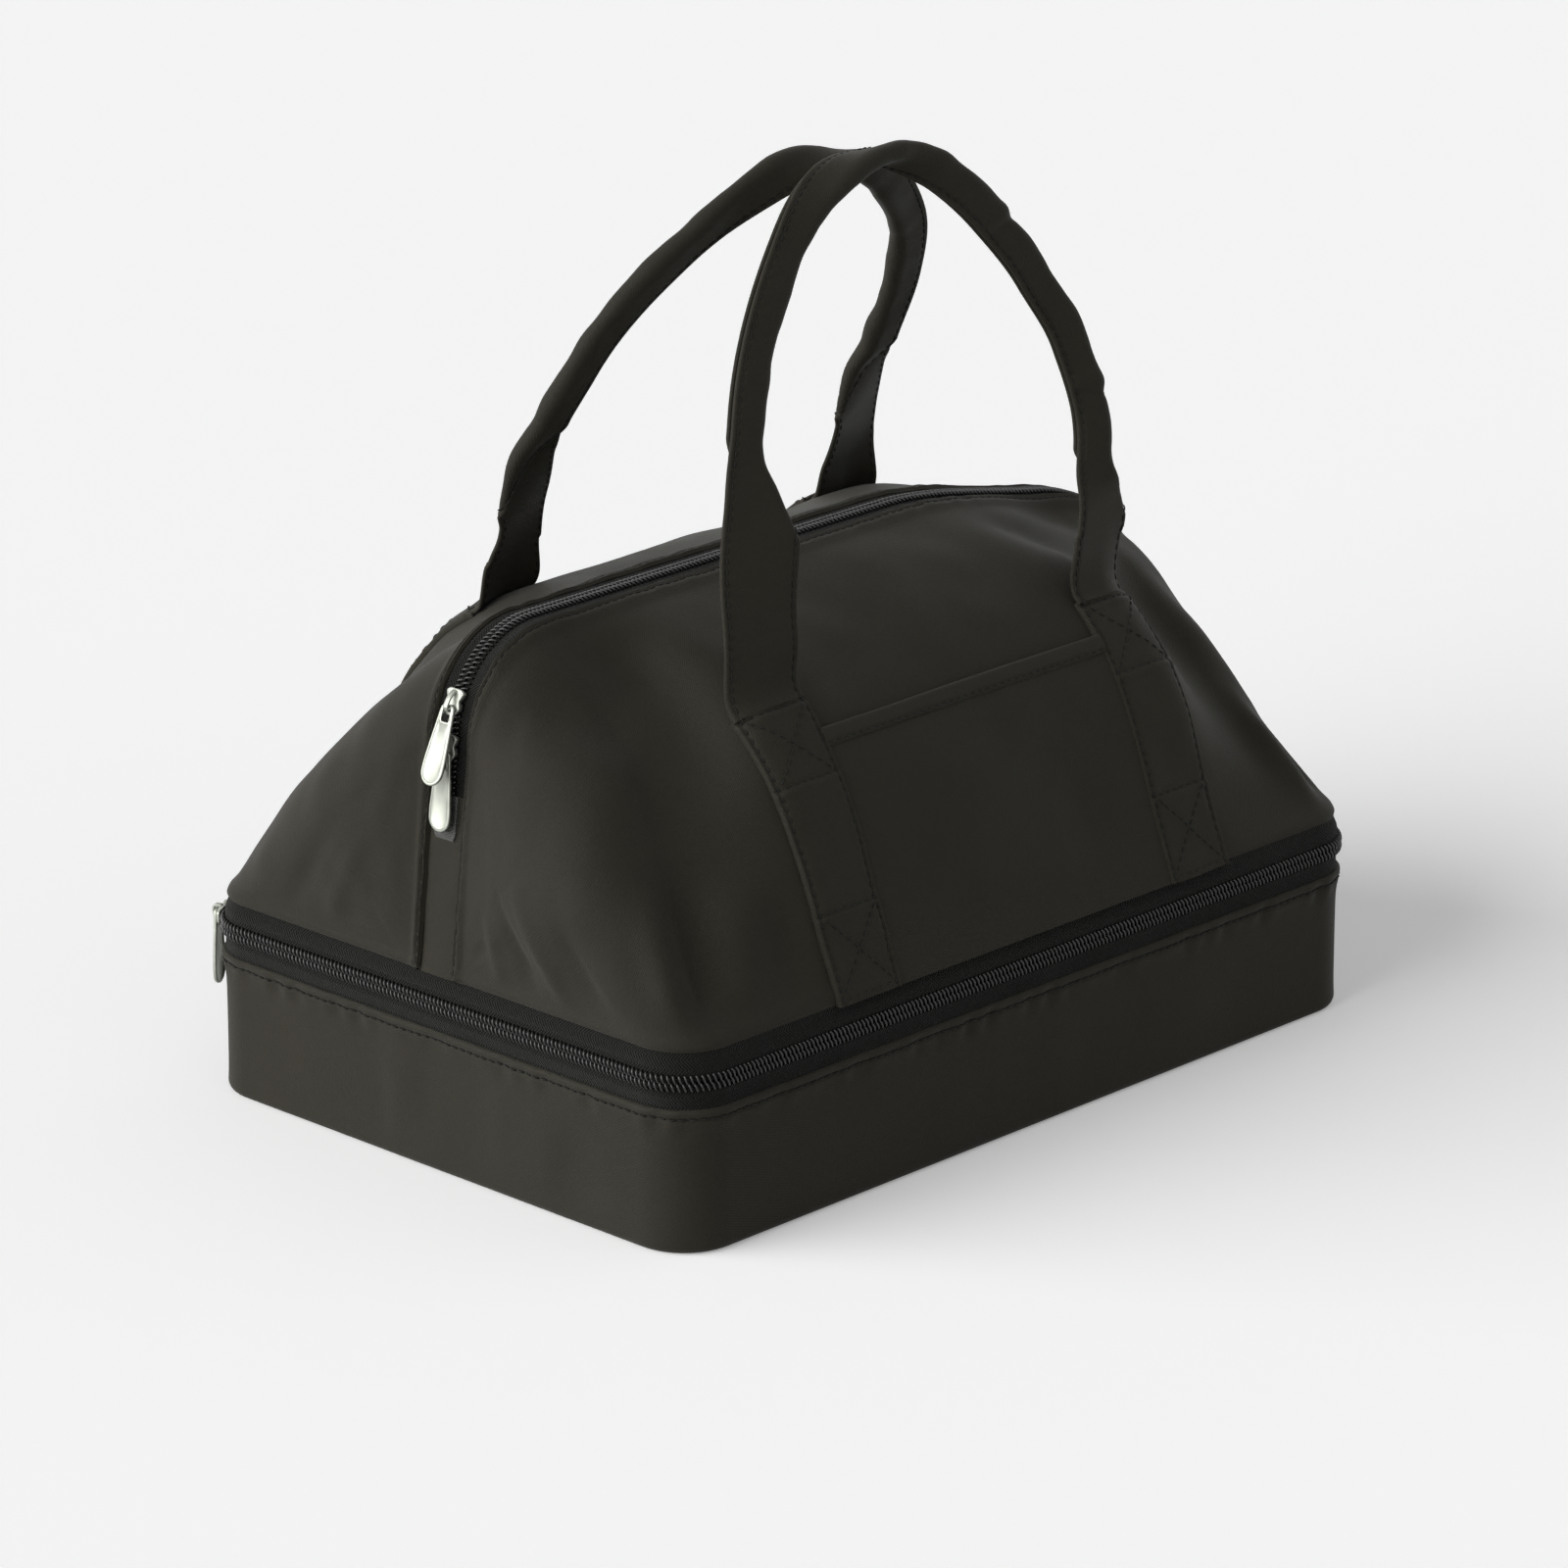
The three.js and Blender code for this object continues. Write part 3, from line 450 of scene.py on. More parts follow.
def strap_top(back):
    """Share up the face at which the handle leaves it."""
    return BACK_STRAP_TOP_SHARE if back else FRONT_STRAP_TOP_SHARE


# Folds of a face: start and end as (s, t), width and height. The scales turn shares into metres
ALONG_SCALE = 0.75
RISE_SCALE = 0.2
FRONT_FOLD_DEPTH = 1.6
QUIET_ROUND_STRAP = 0.028
QUIET_SEAM = 0.03
FRONT_FOLDS = [
    ((0.200, 0.30), (0.250, 0.62), 0.024, 0.0026),
    ((0.305, 0.90), (0.325, 0.52), 0.016, -0.0042),
    ((0.225, 0.06), (0.245, 0.34), 0.012, 0.0022),
    ((0.260, 0.03), (0.275, 0.36), 0.012, -0.0026),
    ((0.292, 0.03), (0.300, 0.30), 0.012, 0.0024),
    ((0.320, 0.03), (0.330, 0.24), 0.010, -0.0014),
    ((0.195, 0.92), (0.270, 0.70), 0.014, -0.0022),
    ((0.215, 0.78), (0.285, 0.52), 0.014, 0.0020),
    ((0.640, 0.92), (0.690, 0.55), 0.016, -0.0050),
    ((0.705, 0.85), (0.770, 0.40), 0.018, 0.0028),
    ((0.742, 0.04), (0.750, 0.35), 0.011, 0.0020),
    ((0.772, 0.04), (0.784, 0.30), 0.010, -0.0018),
    ((0.460, 0.10), (0.480, 0.45), 0.026, 0.0018),
    ((0.560, 0.08), (0.550, 0.40), 0.024, -0.0016),
    ((0.420, 0.62), (0.500, 0.86), 0.020, -0.0020),
    ((0.050, 0.12), (0.090, 0.62), 0.008, 0.0015),
    ((0.085, 0.08), (0.120, 0.62), 0.007, -0.0017),
    ((0.115, 0.06), (0.150, 0.55), 0.008, 0.0016),
    ((0.150, 0.06), (0.180, 0.45), 0.008, -0.0014),
]
BACK_FOLDS = [
    ((0.240, 0.10), (0.270, 0.55), 0.018, 0.0016),
    ((0.290, 0.05), (0.310, 0.35), 0.012, -0.0014),
    ((0.700, 0.90), (0.740, 0.45), 0.018, -0.0028),
    ((0.740, 0.06), (0.755, 0.45), 0.013, 0.0016),
    ((0.780, 0.08), (0.800, 0.35), 0.011, -0.0012),
    ((0.450, 0.15), (0.460, 0.60), 0.030, 0.0016),
    ((0.540, 0.12), (0.560, 0.55), 0.026, -0.0014),
    ((0.090, 0.10), (0.130, 0.62), 0.008, 0.0013),
    ((0.130, 0.08), (0.160, 0.55), 0.008, -0.0012),
]


def fold_relief(s, t, folds):
    relief = np.zeros(np.broadcast(s, t).shape)
    px, py = s * ALONG_SCALE, t * RISE_SCALE
    for (s0, t0), (s1, t1), width, height in folds:
        ax, ay = s0 * ALONG_SCALE, t0 * RISE_SCALE
        dx, dy = s1 * ALONG_SCALE - ax, t1 * RISE_SCALE - ay
        along = ((px - ax) * dx + (py - ay) * dy) / (dx * dx + dy * dy)
        held = np.clip(along, 0, 1)
        away = np.hypot(px - ax - dx * held, py - ay - dy * held)
        ends = smooth(along, -0.25, 0.35) * (1 - smooth(along, 0.65, 1.25))
        relief += height * bump(away, width) * ends
    return relief


def cloth_relief(s, t, back):
    """Height of the folds and of the cloth's slow waves above the smooth face."""
    s, t = same_shape(s, t)
    relief = fold_relief(s, t, BACK_FOLDS) if back else FRONT_FOLD_DEPTH * fold_relief(s, t, FRONT_FOLDS)
    seed = 40 if back else 20
    u, v = s * ALONG_SCALE, t * RISE_SCALE
    slow, quick = soft_noise(u, v * 0.6, 0.055, seed), soft_noise(u, v, 0.021, seed + 1)
    relief = relief + 0.0020 * slow + 0.0007 * quick
    top = strap_top(back)
    quiet = 1.0
    for x in (-STRAP_SPREAD, STRAP_SPREAD):
        du = (s - share_at(x, top)) * ALONG_SCALE
        dv = (t - top) * RISE_SCALE
        quiet = quiet * (1 - bump(np.hypot(du, dv), QUIET_ROUND_STRAP))
    across = seam_to_seam(s)
    near_low, near_high = smooth(t * across, 0, QUIET_SEAM), smooth((1 - t) * across, 0, QUIET_SEAM)
    return relief * quiet * near_low * near_high


def cloth_point(s, t, lift, back):
    """Point of the folded cloth, lifted outwards from it; the back is the mirror of the front."""
    s, t = same_shape(s, t)
    out = face_normal(s, t) * (lift + cloth_relief(s, t, back))[..., None]
    point = face_point(s, t) + out
    if back:
        point[..., 1] *= -1
    return point


def sew_face(body, s, t, lift, back):
    normals = face_normal(s, t)
    if back:
        normals = normals * [1, -1, 1]
    sew(body, cloth_point(s, t, lift, back), normals)


def edge_spaced(count, edges, lengths):
    """Shares from 0 to 1, with extra ones at the given distances from both ends of a line of that length."""
    near = np.asarray(edges) / lengths
    middle = np.linspace(near[-1], 1 - near[-1], count)
    return np.concatenate([near[:-1], middle, (1 - near[:-1])[::-1]])


SEAM_ROWS = np.array([0, 0.0004, 0.0010, 0.0017, 0.0022, 0.0027, 0.0032, 0.0040, 0.0055, 0.0075, 0.0100])


def panel_grid(columns, rises):
    s = np.linspace(0, 1, columns)
    t = edge_spaced(rises, SEAM_ROWS, RISE_SCALE)
    s, t = np.meshgrid(s, t)
    along = lengths_along(face_point(s[0], 0.5))
    uv = np.stack([np.broadcast_to(along, s.shape), t * seam_to_seam(s)], -1)
    return s, t, uv


def panel_lift(s, t, back):
    """Height of the face's folded edges, stitch groove and puckers."""
    length = seam_to_seam(s)
    low, high = t * length, (1 - t) * length
    fold = 0.0017 * (1 - smooth(high, 0.004, 0.009)) - 0.0018 * (1 - smooth(high, 0, 0.0013))
    groove = -0.0009 * bump(high - EDGE_STITCH, 0.0009)
    pucker = 0.0005 * soft_noise(s * ALONG_SCALE, 0, 0.0065, 60 + back) * bump(high - EDGE_STITCH, 0.003)
    tuck = -0.0014 * (1 - smooth(low, 0, 0.0022)) + 0.0008 * bump(low - 0.005, 0.003)
    return fold + groove + pucker + tuck


def add_panel(side, material):
    back = side == "back"
    s, t, uv = panel_grid(261, 70)
    lift = panel_lift(s, t, back)
    outer = cloth_point(s, t, lift, back)
    inner = cloth_point(s, t, -CLOTH + np.minimum(lift, 0), back)
    high = (1 - t) * seam_to_seam(s)
    # Paler along the folded top edge and, weaker, on fold crests: partly edge wear, partly painted highlight
    # where the crests stand out.
    ridge = np.clip(cloth_relief(s, t, back) / 0.004, 0, 1)
    rub = np.clip(bump(high - 0.0010, 0.0009) + 0.35 * ridge, 0, 1)
    closed_sheet(
        f"{side}_face_cloth", outer, inner, uv, material, rub=rub,
        body="bag", slot="shell_cloth", replaces=(f"{side}_panel",),
    )
    s = np.linspace(0.004, 0.996, 700)
    t = 1 - EDGE_STITCH / seam_to_seam(s)
    sew_face("bag", s, t, panel_lift(s, t, back), back)


LAYER_MARGIN_SHARE = 0.03


def add_under_layers(side, foam, lining):
    back = side == "back"
    foam_out = CLOTH + LAYER_GAP
    lining_out = foam_out + BAG_FOAM + LAYER_GAP
    s, t, uv = panel_grid(91, 20)
    t = mix(LAYER_MARGIN_SHARE, 1 - LAYER_MARGIN_SHARE, t)
    for name, out, thick, material, slot in (
        ("foam", foam_out, BAG_FOAM, foam, "foam"), ("lining", lining_out, LINING, lining, "lining"),
    ):
        outer = cloth_point(s, t, -out, back)
        inner = cloth_point(s, t, -out - thick, back)
        closed_sheet(
            f"{side}_{name}_layer", outer, inner, uv, material,
            body="bag", slot=slot, replaces=(f"{side}_panel_{name}",),
        )


# Straps and pocket on the faces
PATCH_EDGE = np.array([0, 0.0003, 0.0008, 0.0015, 0.0022, 0.0027, 0.0032, 0.0042, 0.0060])


def rounded_edge(distance, radius):
    """Share of a cloth's thickness at a distance from its rounded edge."""
    inside = np.clip(distance / radius, 0, 1)
    return np.sqrt(np.clip(1 - (1 - inside) ** 2, 0, 1))


def patch_grid(x0, x1, t0, t1, columns, rises, height):
    x = mix(x0, x1, edge_spaced(columns, PATCH_EDGE, x1 - x0))
    t = mix(t0, t1, edge_spaced(rises, PATCH_EDGE[:6], height))
    return np.meshgrid(x, t)


def add_patch(name, x, t, lift, low_lift, back, material, **how):
    s = share_at(x, t)
    outer = cloth_point(s, t, lift, back)
    inner = cloth_point(s, t, low_lift, back)
    uv = np.stack([x - x.min(), lengths_along(outer)], -1)
    return closed_sheet(name, outer, inner, uv, material, body="bag", **how)


FACE_LENGTH = 0.205
BOX_SHARE = 0.175
BOX_MARGIN_SHARE = 0.012
POCKET_TUCK = 0.002
POCKET_BILLOW = 0.0016
HEM_STITCH = 0.0018


def strap_lift(x, t, middle, top, back):
    edge = STRAP_WIDTH / 2 - np.abs(x - middle)
    lift = WEBBING * rounded_edge(edge, 0.0012) * rounded_edge((top - t) * FACE_LENGTH + 0.0004, 0.0008)
    lift = lift - 0.0006 * bump(edge - EDGE_STITCH, 0.0008)
    for line in (top - BOX_SHARE, BOX_SHARE, top - BOX_MARGIN_SHARE):
        away = (t - line) * FACE_LENGTH
        lift = lift - 0.0006 * bump(away, 0.0008) + 0.0005 * bump(away + 0.0025, 0.0014)
    wave = 0.0006 * soft_noise(x, t * RISE_SCALE, 0.013, 70 + back * 2 + (middle > 0))
    return FIT + lift + wave * smooth(edge, 0, 0.004)


def add_sewn_strap(side, hand, material):
    back = side == "back"
    middle = STRAP_SPREAD * (1 if hand == "right" else -1)
    x0, x1 = middle - STRAP_WIDTH / 2, middle + STRAP_WIDTH / 2
    top = strap_top(back)
    x, t = patch_grid(x0, x1, 0, top, 18, 110, top * FACE_LENGTH)
    lift = strap_lift(x, t, middle, top, back)
    edge = STRAP_WIDTH / 2 - np.abs(x - middle)
    # Its edges pale: partly wear, partly painted highlight along the rounded edge.
    add_patch(
        f"{side}_{hand}_strap_sewn", x, t, lift, np.full_like(lift, UNDER_GAP), back, material,
        rub=bump(edge - 0.0006, 0.0006), slot="strap_cloth", replaces=(f"{side}_{hand}_sewn_strap",),
    )
    left, right = x0 + EDGE_STITCH, x1 - EDGE_STITCH
    box_low, box_high = top - BOX_SHARE, top - BOX_MARGIN_SHARE
    lines = [((x, BOX_MARGIN_SHARE), (x, box_high)) for x in (left, right)]
    for low, high in ((box_low, box_high), (BOX_MARGIN_SHARE, BOX_SHARE)):
        lines += [((left, a), (right, b)) for a, b in ((low, low), (high, high), (low, high), (high, low))]
    for (xa, ta), (xb, tb) in lines:
        k = np.linspace(0, 1, 60)
        x, t = mix(xa, xb, k), mix(ta, tb, k)
        sew_face("bag", share_at(x, t), t, strap_lift(x, t, middle, top, back), back)


def add_pocket(material):
    half = STRAP_SPREAD - STRAP_WIDTH / 2 + POCKET_TUCK
    hem_low = POCKET_TOP_SHARE - POCKET_HEM_SHARE

    def billow(x):
        return POCKET_BILLOW * (1 - np.clip(np.abs(x) / half, 0, 1) ** 4)

    def hem_lift(x, t):
        edge = np.minimum(t - hem_low, POCKET_TOP_SHARE - t) * FACE_LENGTH
        groove = -0.0006 * bump((t - hem_low) * FACE_LENGTH - HEM_STITCH, 0.0007)
        return FIT + billow(x) + CLOTH * 0.5 + 0.0020 * rounded_edge(edge, 0.0016) + groove

    x, t = patch_grid(-half, half, 0, hem_low + 0.004, 80, 60, hem_low * FACE_LENGTH)
    lift = FIT + CLOTH + smooth(t, 0.1, hem_low) * billow(x)
    add_patch(
        "pocket_cloth", x, t, lift, np.full_like(lift, UNDER_GAP), False, material,
        slot="shell_cloth", replaces=("front_pocket",),
    )
    x, t = patch_grid(-half, half, hem_low, POCKET_TOP_SHARE, 80, 8, POCKET_HEM_SHARE * FACE_LENGTH)
    lift = hem_lift(x, t)
    low = FIT + billow(x) * (1 - 0.6 * smooth(t, hem_low, POCKET_TOP_SHARE)) - 0.0002
    # The hem's top edge pales: partly wear, partly painted highlight on its rounded edge.
    top_edge = bump((POCKET_TOP_SHARE - t) * FACE_LENGTH - 0.001, 0.001)
    add_patch(
        "pocket_hem", x, t, lift, low, False, material, rub=top_edge,
        slot="shell_cloth", replaces=("front_pocket_hem",),
    )
    x = np.linspace(-half + 0.003, half - 0.003, 200)
    t = np.full_like(x, hem_low + HEM_STITCH / FACE_LENGTH)
    sew_face("bag", share_at(x, t), t, hem_lift(x, t), False)


# Line of the top zip in the middle plane
ARCH_SPACING = 0.0025


def end_line_x(z):
    seam_x = HALF_LENGTH - SEAM_INSET
    return mix(seam_x, SHOULDER_X + SHOULDER_RADIUS, (z - SEAM_HEIGHT) / (SHOULDER_Z - SEAM_HEIGHT))


def arch_line():
    """Points (x, z), outward normals and running lengths of the zip's line, from left to right."""
    z = np.linspace(TOP_ZIP_END_HEIGHT, SHOULDER_Z, 12)[:-1]
    angle = np.linspace(0, math.pi / 2, 31)
    end = np.stack([
        np.concatenate([end_line_x(z), SHOULDER_X + SHOULDER_RADIUS * np.cos(angle)]),
        np.concatenate([z, SHOULDER_Z + SHOULDER_RADIUS * np.sin(angle)]),
    ], 1)
    flat_x = np.linspace(-SHOULDER_X, SHOULDER_X, int(2 * SHOULDER_X / ARCH_SPACING))[1:-1]
    top = np.stack([flat_x, np.full_like(flat_x, SHOULDER_Z + SHOULDER_RADIUS)], 1)
    line = np.concatenate([end * [-1, 1], top, end[::-1]])
    line[:, 1] -= ridge_sag(line[:, 0], line[:, 1])
    return line, square_to(unit(np.gradient(line, axis=0))), lengths_along(line)


def add_top_tape(side, material):
    sign = -1 if side == "front" else 1
    rows = np.linspace(STRIP_HALF_WIDTH - FIT, CHAIN_GAP / 2, 12)
    line, normal, run = arch_line()
    outer, inner = (
        np.stack([np.insert(line - normal * depth, 1, sign * y, axis=1) for y in rows])
        for depth in (TAPE_INSET, TAPE_INSET + TAPE)
    )
    uv = np.stack(np.broadcast_arrays(run[None, :], rows[:, None]), -1)
    closed_sheet(
        f"top_zip_{side}_ribbon", outer, inner, uv, material,
        body="bag", slot="zip_tape", replaces=(f"top_zip_{side}_tape",),
    )


END_TAB_LENGTH, END_TAB_HALF_WIDTH = 0.020, 0.0065
END_TAB_RIB = 0.0014


def add_end_strip(hand, cloth, tab_cloth):
    sign = 1 if hand == "right" else -1
    top = TOP_ZIP_END_HEIGHT - FIT
    y = np.linspace(-1, 1, 15) * (STRIP_HALF_WIDTH - FIT)
    z = np.linspace(SEAM_HEIGHT, top, 40)
    y, z = np.meshgrid(y, z)
    crown = 0.0005 * (1 - (y / STRIP_HALF_WIDTH) ** 2) + 0.0004 * soft_noise(y, z, 0.011, 80 + sign)

    def wall(y, z, out):
        return np.stack([sign * (end_line_x(z) + out - STRIP_DROP), y, z], -1)

    uv = np.stack([y, z], -1)
    closed_sheet(
        f"{hand}_end_gusset", wall(y, z, crown), wall(y, z, crown - CLOTH), uv, cloth,
        body="bag", slot="shell_cloth", replaces=(f"{hand}_end_strip",),
    )
    low = top - END_TAB_LENGTH
    rise = edge_spaced(40, PATCH_EDGE[:5], END_TAB_LENGTH)
    y, z = np.meshgrid(np.linspace(-1, 1, 9) * END_TAB_HALF_WIDTH, mix(low, top, rise))
    y = y * mix(0.82, 1.0, smooth(z, low, low + 0.004))
    ribs = 0.00018 * np.cos((z - low) / END_TAB_RIB * 2 * math.pi)
    lift = 0.0007 + 0.0009 * rounded_edge(z - low, 0.0012) + ribs
    uv = np.stack([y, z], -1)
    closed_sheet(
        f"{hand}_zip_stop_tab", wall(y, z, lift), wall(y, z, np.full_like(lift, 0.0004)), uv, tab_cloth,
        body="bag", slot="end_tab_tape", replaces=(f"{hand}_zip_end_tab",),
    )


# Tray
TRAY_BOTTOM_RADIUS = 0.004
LIP_HEIGHT = 0.0065
LIP_STITCH = 0.0042
LIP_THREAD_OUT = 0.0005
MOST_INWARD = 0.0007


def tray_relief(length, z):
    """How far the tray's wall stands out of its plain outline: soft upright folds, most on the left end."""
    left = outline_length(180) - STRAIGHT_Y / 2
    on_left = smooth(np.abs(length - left), STRAIGHT_Y / 2 + 0.02, STRAIGHT_Y / 2 - 0.02)
    middle = np.sin(math.pi * np.clip(z / WALL_TOP, 0, 1))
    folds = soft_noise(length, z * 0.25, 0.022, 11) * mix(0.0005, 0.0020, on_left)
    waves = soft_noise(length, z * 0.4, 0.07, 12) * 0.0018
    out = (folds + waves) * middle
    return np.where(out < 0, -MOST_INWARD * np.tanh(-out / MOST_INWARD), out)


def tray_heights():
    foot = TRAY_BOTTOM_RADIUS * (1 - np.cos(np.linspace(0, math.pi / 2, 6)))
    wall = np.linspace(TRAY_BOTTOM_RADIUS, WALL_TOP - LIP_HEIGHT, 26)[1:]
    lip = WALL_TOP - np.array([0.0055, 0.0048, 0.0042, 0.0036, 0.0028, 0.0018, 0.0008, 0.0003, 0.0])
    return np.concatenate([foot, wall, lip])


def tray_inward(length, z):
    """How far the tray's cloth lies inside its outline: rounded foot, folded lip, stitch groove, folds."""
    foot = TRAY_BOTTOM_RADIUS * (1 - rounded_edge(z, TRAY_BOTTOM_RADIUS))
    below = WALL_TOP - z
    groove = 0.0012 * bump(below - LIP_STITCH, 0.0010)
    lip = -0.0010 * (1 - smooth(below, 0.003, 0.008)) + 0.0009 * (1 - smooth(below, 0, 0.0009))
    pucker = 0.0010 * soft_noise(length, 0, 0.0065, 14) * bump(below - 0.0060, 0.0045)
    return foot + groove + lip - pucker - tray_relief(length, z)


def add_tray_cloth(material):
    """Wall and floor of the tray in one closed shell, open at the top."""
    columns = 560
    lengths = lengths_round(columns)
    length, z = np.meshgrid(lengths, tray_heights())
    outer = outline_grid(length, tray_inward(length, z), z)
    # Paler lip edge and foot: partly wear, partly painted highlight on the rounded lip.
    rub = np.clip(bump(WALL_TOP - z - 0.0008, 0.0008) + 0.5 * bump(z - 0.002, 0.002), 0, 1)
    d = np.linspace(0, PERIMETER, 1200)
    z_line = np.full_like(d, WALL_TOP - LIP_STITCH)
    sew("tray", outline_grid(d, tray_inward(d, z_line) - LIP_THREAD_OUT, z_line), outline_normals(d))
    inner = outline_grid(length, np.full_like(z, CLOTH), np.maximum(z, CLOTH))
    floor_shares = np.array([0.1, 0.4, 0.7, 0.9, 0.97])[:, None, None]
    rub = np.concatenate([np.zeros((len(floor_shares), columns)), rub])
    foot_ring = outer[0] * [1, 1, 0]
    floor_out = foot_ring * floor_shares
    floor_in = floor_out + [0, 0, CLOTH]
    outer = np.concatenate([floor_out, outer])
    inner = np.concatenate([floor_in, inner])
    closed_sheet(
        "tray_cloth", outer, inner, uv_round(lengths, lengths_along(outer)), material, wrap=True, rub=rub,
        body="tray", slot="shell_cloth", replaces=("tray_wall_cloth", "tray_floor_cloth"),
    )


def outline_band(name, start, end, inward, heights, thickness, material, columns=400, **how):
    """Band of cloth along the outline: inward takes a share up the band and the length, heights the share."""
    lengths = np.linspace(outline_length(start), outline_length(end), columns)
    share, length = np.meshgrid(np.linspace(0, 1, 14), lengths, indexing="ij")
    z = heights(share)
    into = inward(share, length)
    outer = outline_grid(length, into, z)
    inner = outline_grid(length, into + thickness, z)
    uv = np.stack([length, z], -1)
    return closed_sheet(name, outer, inner, uv, material, **how)


def add_tray_tapes(material):
    low_edge = TRAY_ZIP_HEIGHT - CHAIN_GAP / 2
    high_edge = TRAY_ZIP_HEIGHT + CHAIN_GAP / 2
    outline_band(
        "tray_zip_lower_ribbon", ZIP_START_ANGLE, ZIP_END_ANGLE,
        lambda share, length: TAPE_INSET + 0.0004 * soft_noise(length, 0, 0.02, 31) * np.sin(math.pi * share),
        lambda share: mix(WALL_TOP - 0.003, low_edge, share), TAPE, material,
        body="tray", slot="zip_tape", replaces=("tray_zip_lower_tape",),
    )
    outline_band(
        "tray_zip_upper_ribbon", ZIP_START_ANGLE, ZIP_END_ANGLE,
        lambda share, length: TAPE_INSET + 0.0022 * smooth(share, 0.45, 1),
        lambda share: mix(high_edge, SEAM_HEIGHT + 0.0004, share), TAPE, material,
        body="bag", slot="zip_tape", replaces=("tray_zip_upper_tape",),
    )


def add_hinge_strip(material):
    strip = outline_band(
        "hinge_cloth", HINGE_START_ANGLE, HINGE_END_ANGLE,
        lambda share, length: TAPE_INSET - 0.0006 * np.sin(math.pi * share),
        lambda share: mix(WALL_TOP - 0.002, SEAM_HEIGHT, share), CLOTH, material,
        columns=160, slot="shell_cloth", replaces=("back_hinge_strip",),
    )
    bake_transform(strip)


INSIDE_COLUMNS = 260


def outline_slab(name, inset, low, high, radius, material, dome=None, **how):
    """Padded or plain plate inside the outline, with rounded edges."""
    angle = np.linspace(-math.pi / 2, math.pi / 2, 7)[:, None]
    thick = high - low
    inward = inset + min(radius, thick / 2) * (1 - np.cos(angle))
    z = (low + high) / 2 + np.sin(angle) * thick / 2
    lengths = lengths_round(INSIDE_COLUMNS)
    rim = outline_grid(lengths, inward + 0 * lengths, z)
    shares = np.array([0.985, 0.96, 0.92, 0.86, 0.78, 0.68, 0.56, 0.42, 0.26, 0.1])[:, None, None]
    flat = [1, 1, 0]
    under = rim[0] * flat * shares[::-1] + [0, 0, low]
    over = rim[-1] * flat * shares + [0, 0, high]
    if dome is not None:
        over[..., 2] += dome(over[..., 0], over[..., 1])
        under[..., 2] -= dome(under[..., 0], under[..., 1])
    vertices, faces, _ = ring_loft(np.concatenate([under, rim, over]))
    corners = [tuple(vertices[v][:2]) for face in faces for v in face]
    return make_piece(name, vertices, faces, corners, material, **how)


def levels_of(node):
    low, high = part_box(node)
    return low.z, high.z


def add_tray_inside(foam, lining):
    foam_out = CLOTH + FIT
    lining_out = foam_out + WALL_FOAM + FIT
    lengths = lengths_round(INSIDE_COLUMNS)

    def ring_wall(name, out, thick, high, relief, material, **how):
        length, z = np.meshgrid(lengths, np.linspace(CLOTH + FIT, high, 16))
        outer = outline_grid(length, np.full_like(z, out), z)
        inner = outline_grid(length, out + relief(length, z) + thick, z)
        closed_sheet(name, outer, inner, uv_round(lengths, z), material, wrap=True, body="tray", **how)

    ring_wall(
        "tray_wall_wadding", foam_out, WALL_FOAM, WALL_TOP - FIT, lambda d, z: 0 * z, foam,
        slot="foam", replaces=("tray_wall_foam",),
    )
    ring_wall(
        "tray_side_lining", lining_out, LINING, WALL_TOP,
        lambda d, z: 0.0007 * soft_noise(d, z, 0.03, 91) * np.sin(math.pi * z / WALL_TOP) ** 2, lining,
        slot="lining", replaces=("tray_wall_lining",),
    )
    inside = lining_out + LINING + FIT
    outline_slab(
        "tray_floor_wadding", inside, *levels_of("tray_floor_foam"), 0.001, foam,
        body="tray", slot="foam", replaces=("tray_floor_foam",),
    )
    outline_slab(
        "tray_base_lining", inside, *levels_of("tray_floor_lining"), 0.0004, lining,
        dome=lambda x, y: 0.0003 * soft_noise(x, y, 0.05, 92) + 0.0003,
        body="tray", slot="lining", replaces=("tray_floor_lining",),
    )


def add_divider(lining):
    inset = HALF_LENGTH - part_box("divider_under_cloth")[1].x
    outline_slab(
        "divider_underside", inset, *levels_of("divider_under_cloth"), 0.0006, lining,
        body="bag", slot="lining", replaces=("divider_under_cloth",),
    )
    outline_slab(
        "divider_top_lining", inset, *levels_of("divider_lining"), 0.0004, lining,
        body="bag", slot="lining", replaces=("divider_lining",),
    )


# Handles: a strap that folds in half lengthwise into a round grip
STRAP_SAMPLES = np.concatenate([
    [-0.5, -0.494, -0.48, -0.455], np.linspace(-0.43, 0.43, 45), [0.455, 0.48, 0.494, 0.5],
])
# The far half folds over until it lies parallel, then its edge closes to EDGE_GAP while the curl grows round
FLAT_CURL, ROUND_CURL = 0.12, 0.40
PARALLEL_FOLD, CLOSED_FOLD, CURL_FROM_FOLD = 0.30, 0.85, 0.4
FOLD_COUNT = 40
HELD_PLACE = -0.25
EDGE_GAP = WEBBING * 1.05
LEG_POWER = 6
TOP_SHARES = (0.36, 0.64)
ROOT_BEND = 0.026
ROOT_OVERLAP = 0.0025
SETTLE_LENGTH = 0.008
CREASES = {"front": (0.086, 0.176), "back": ()}
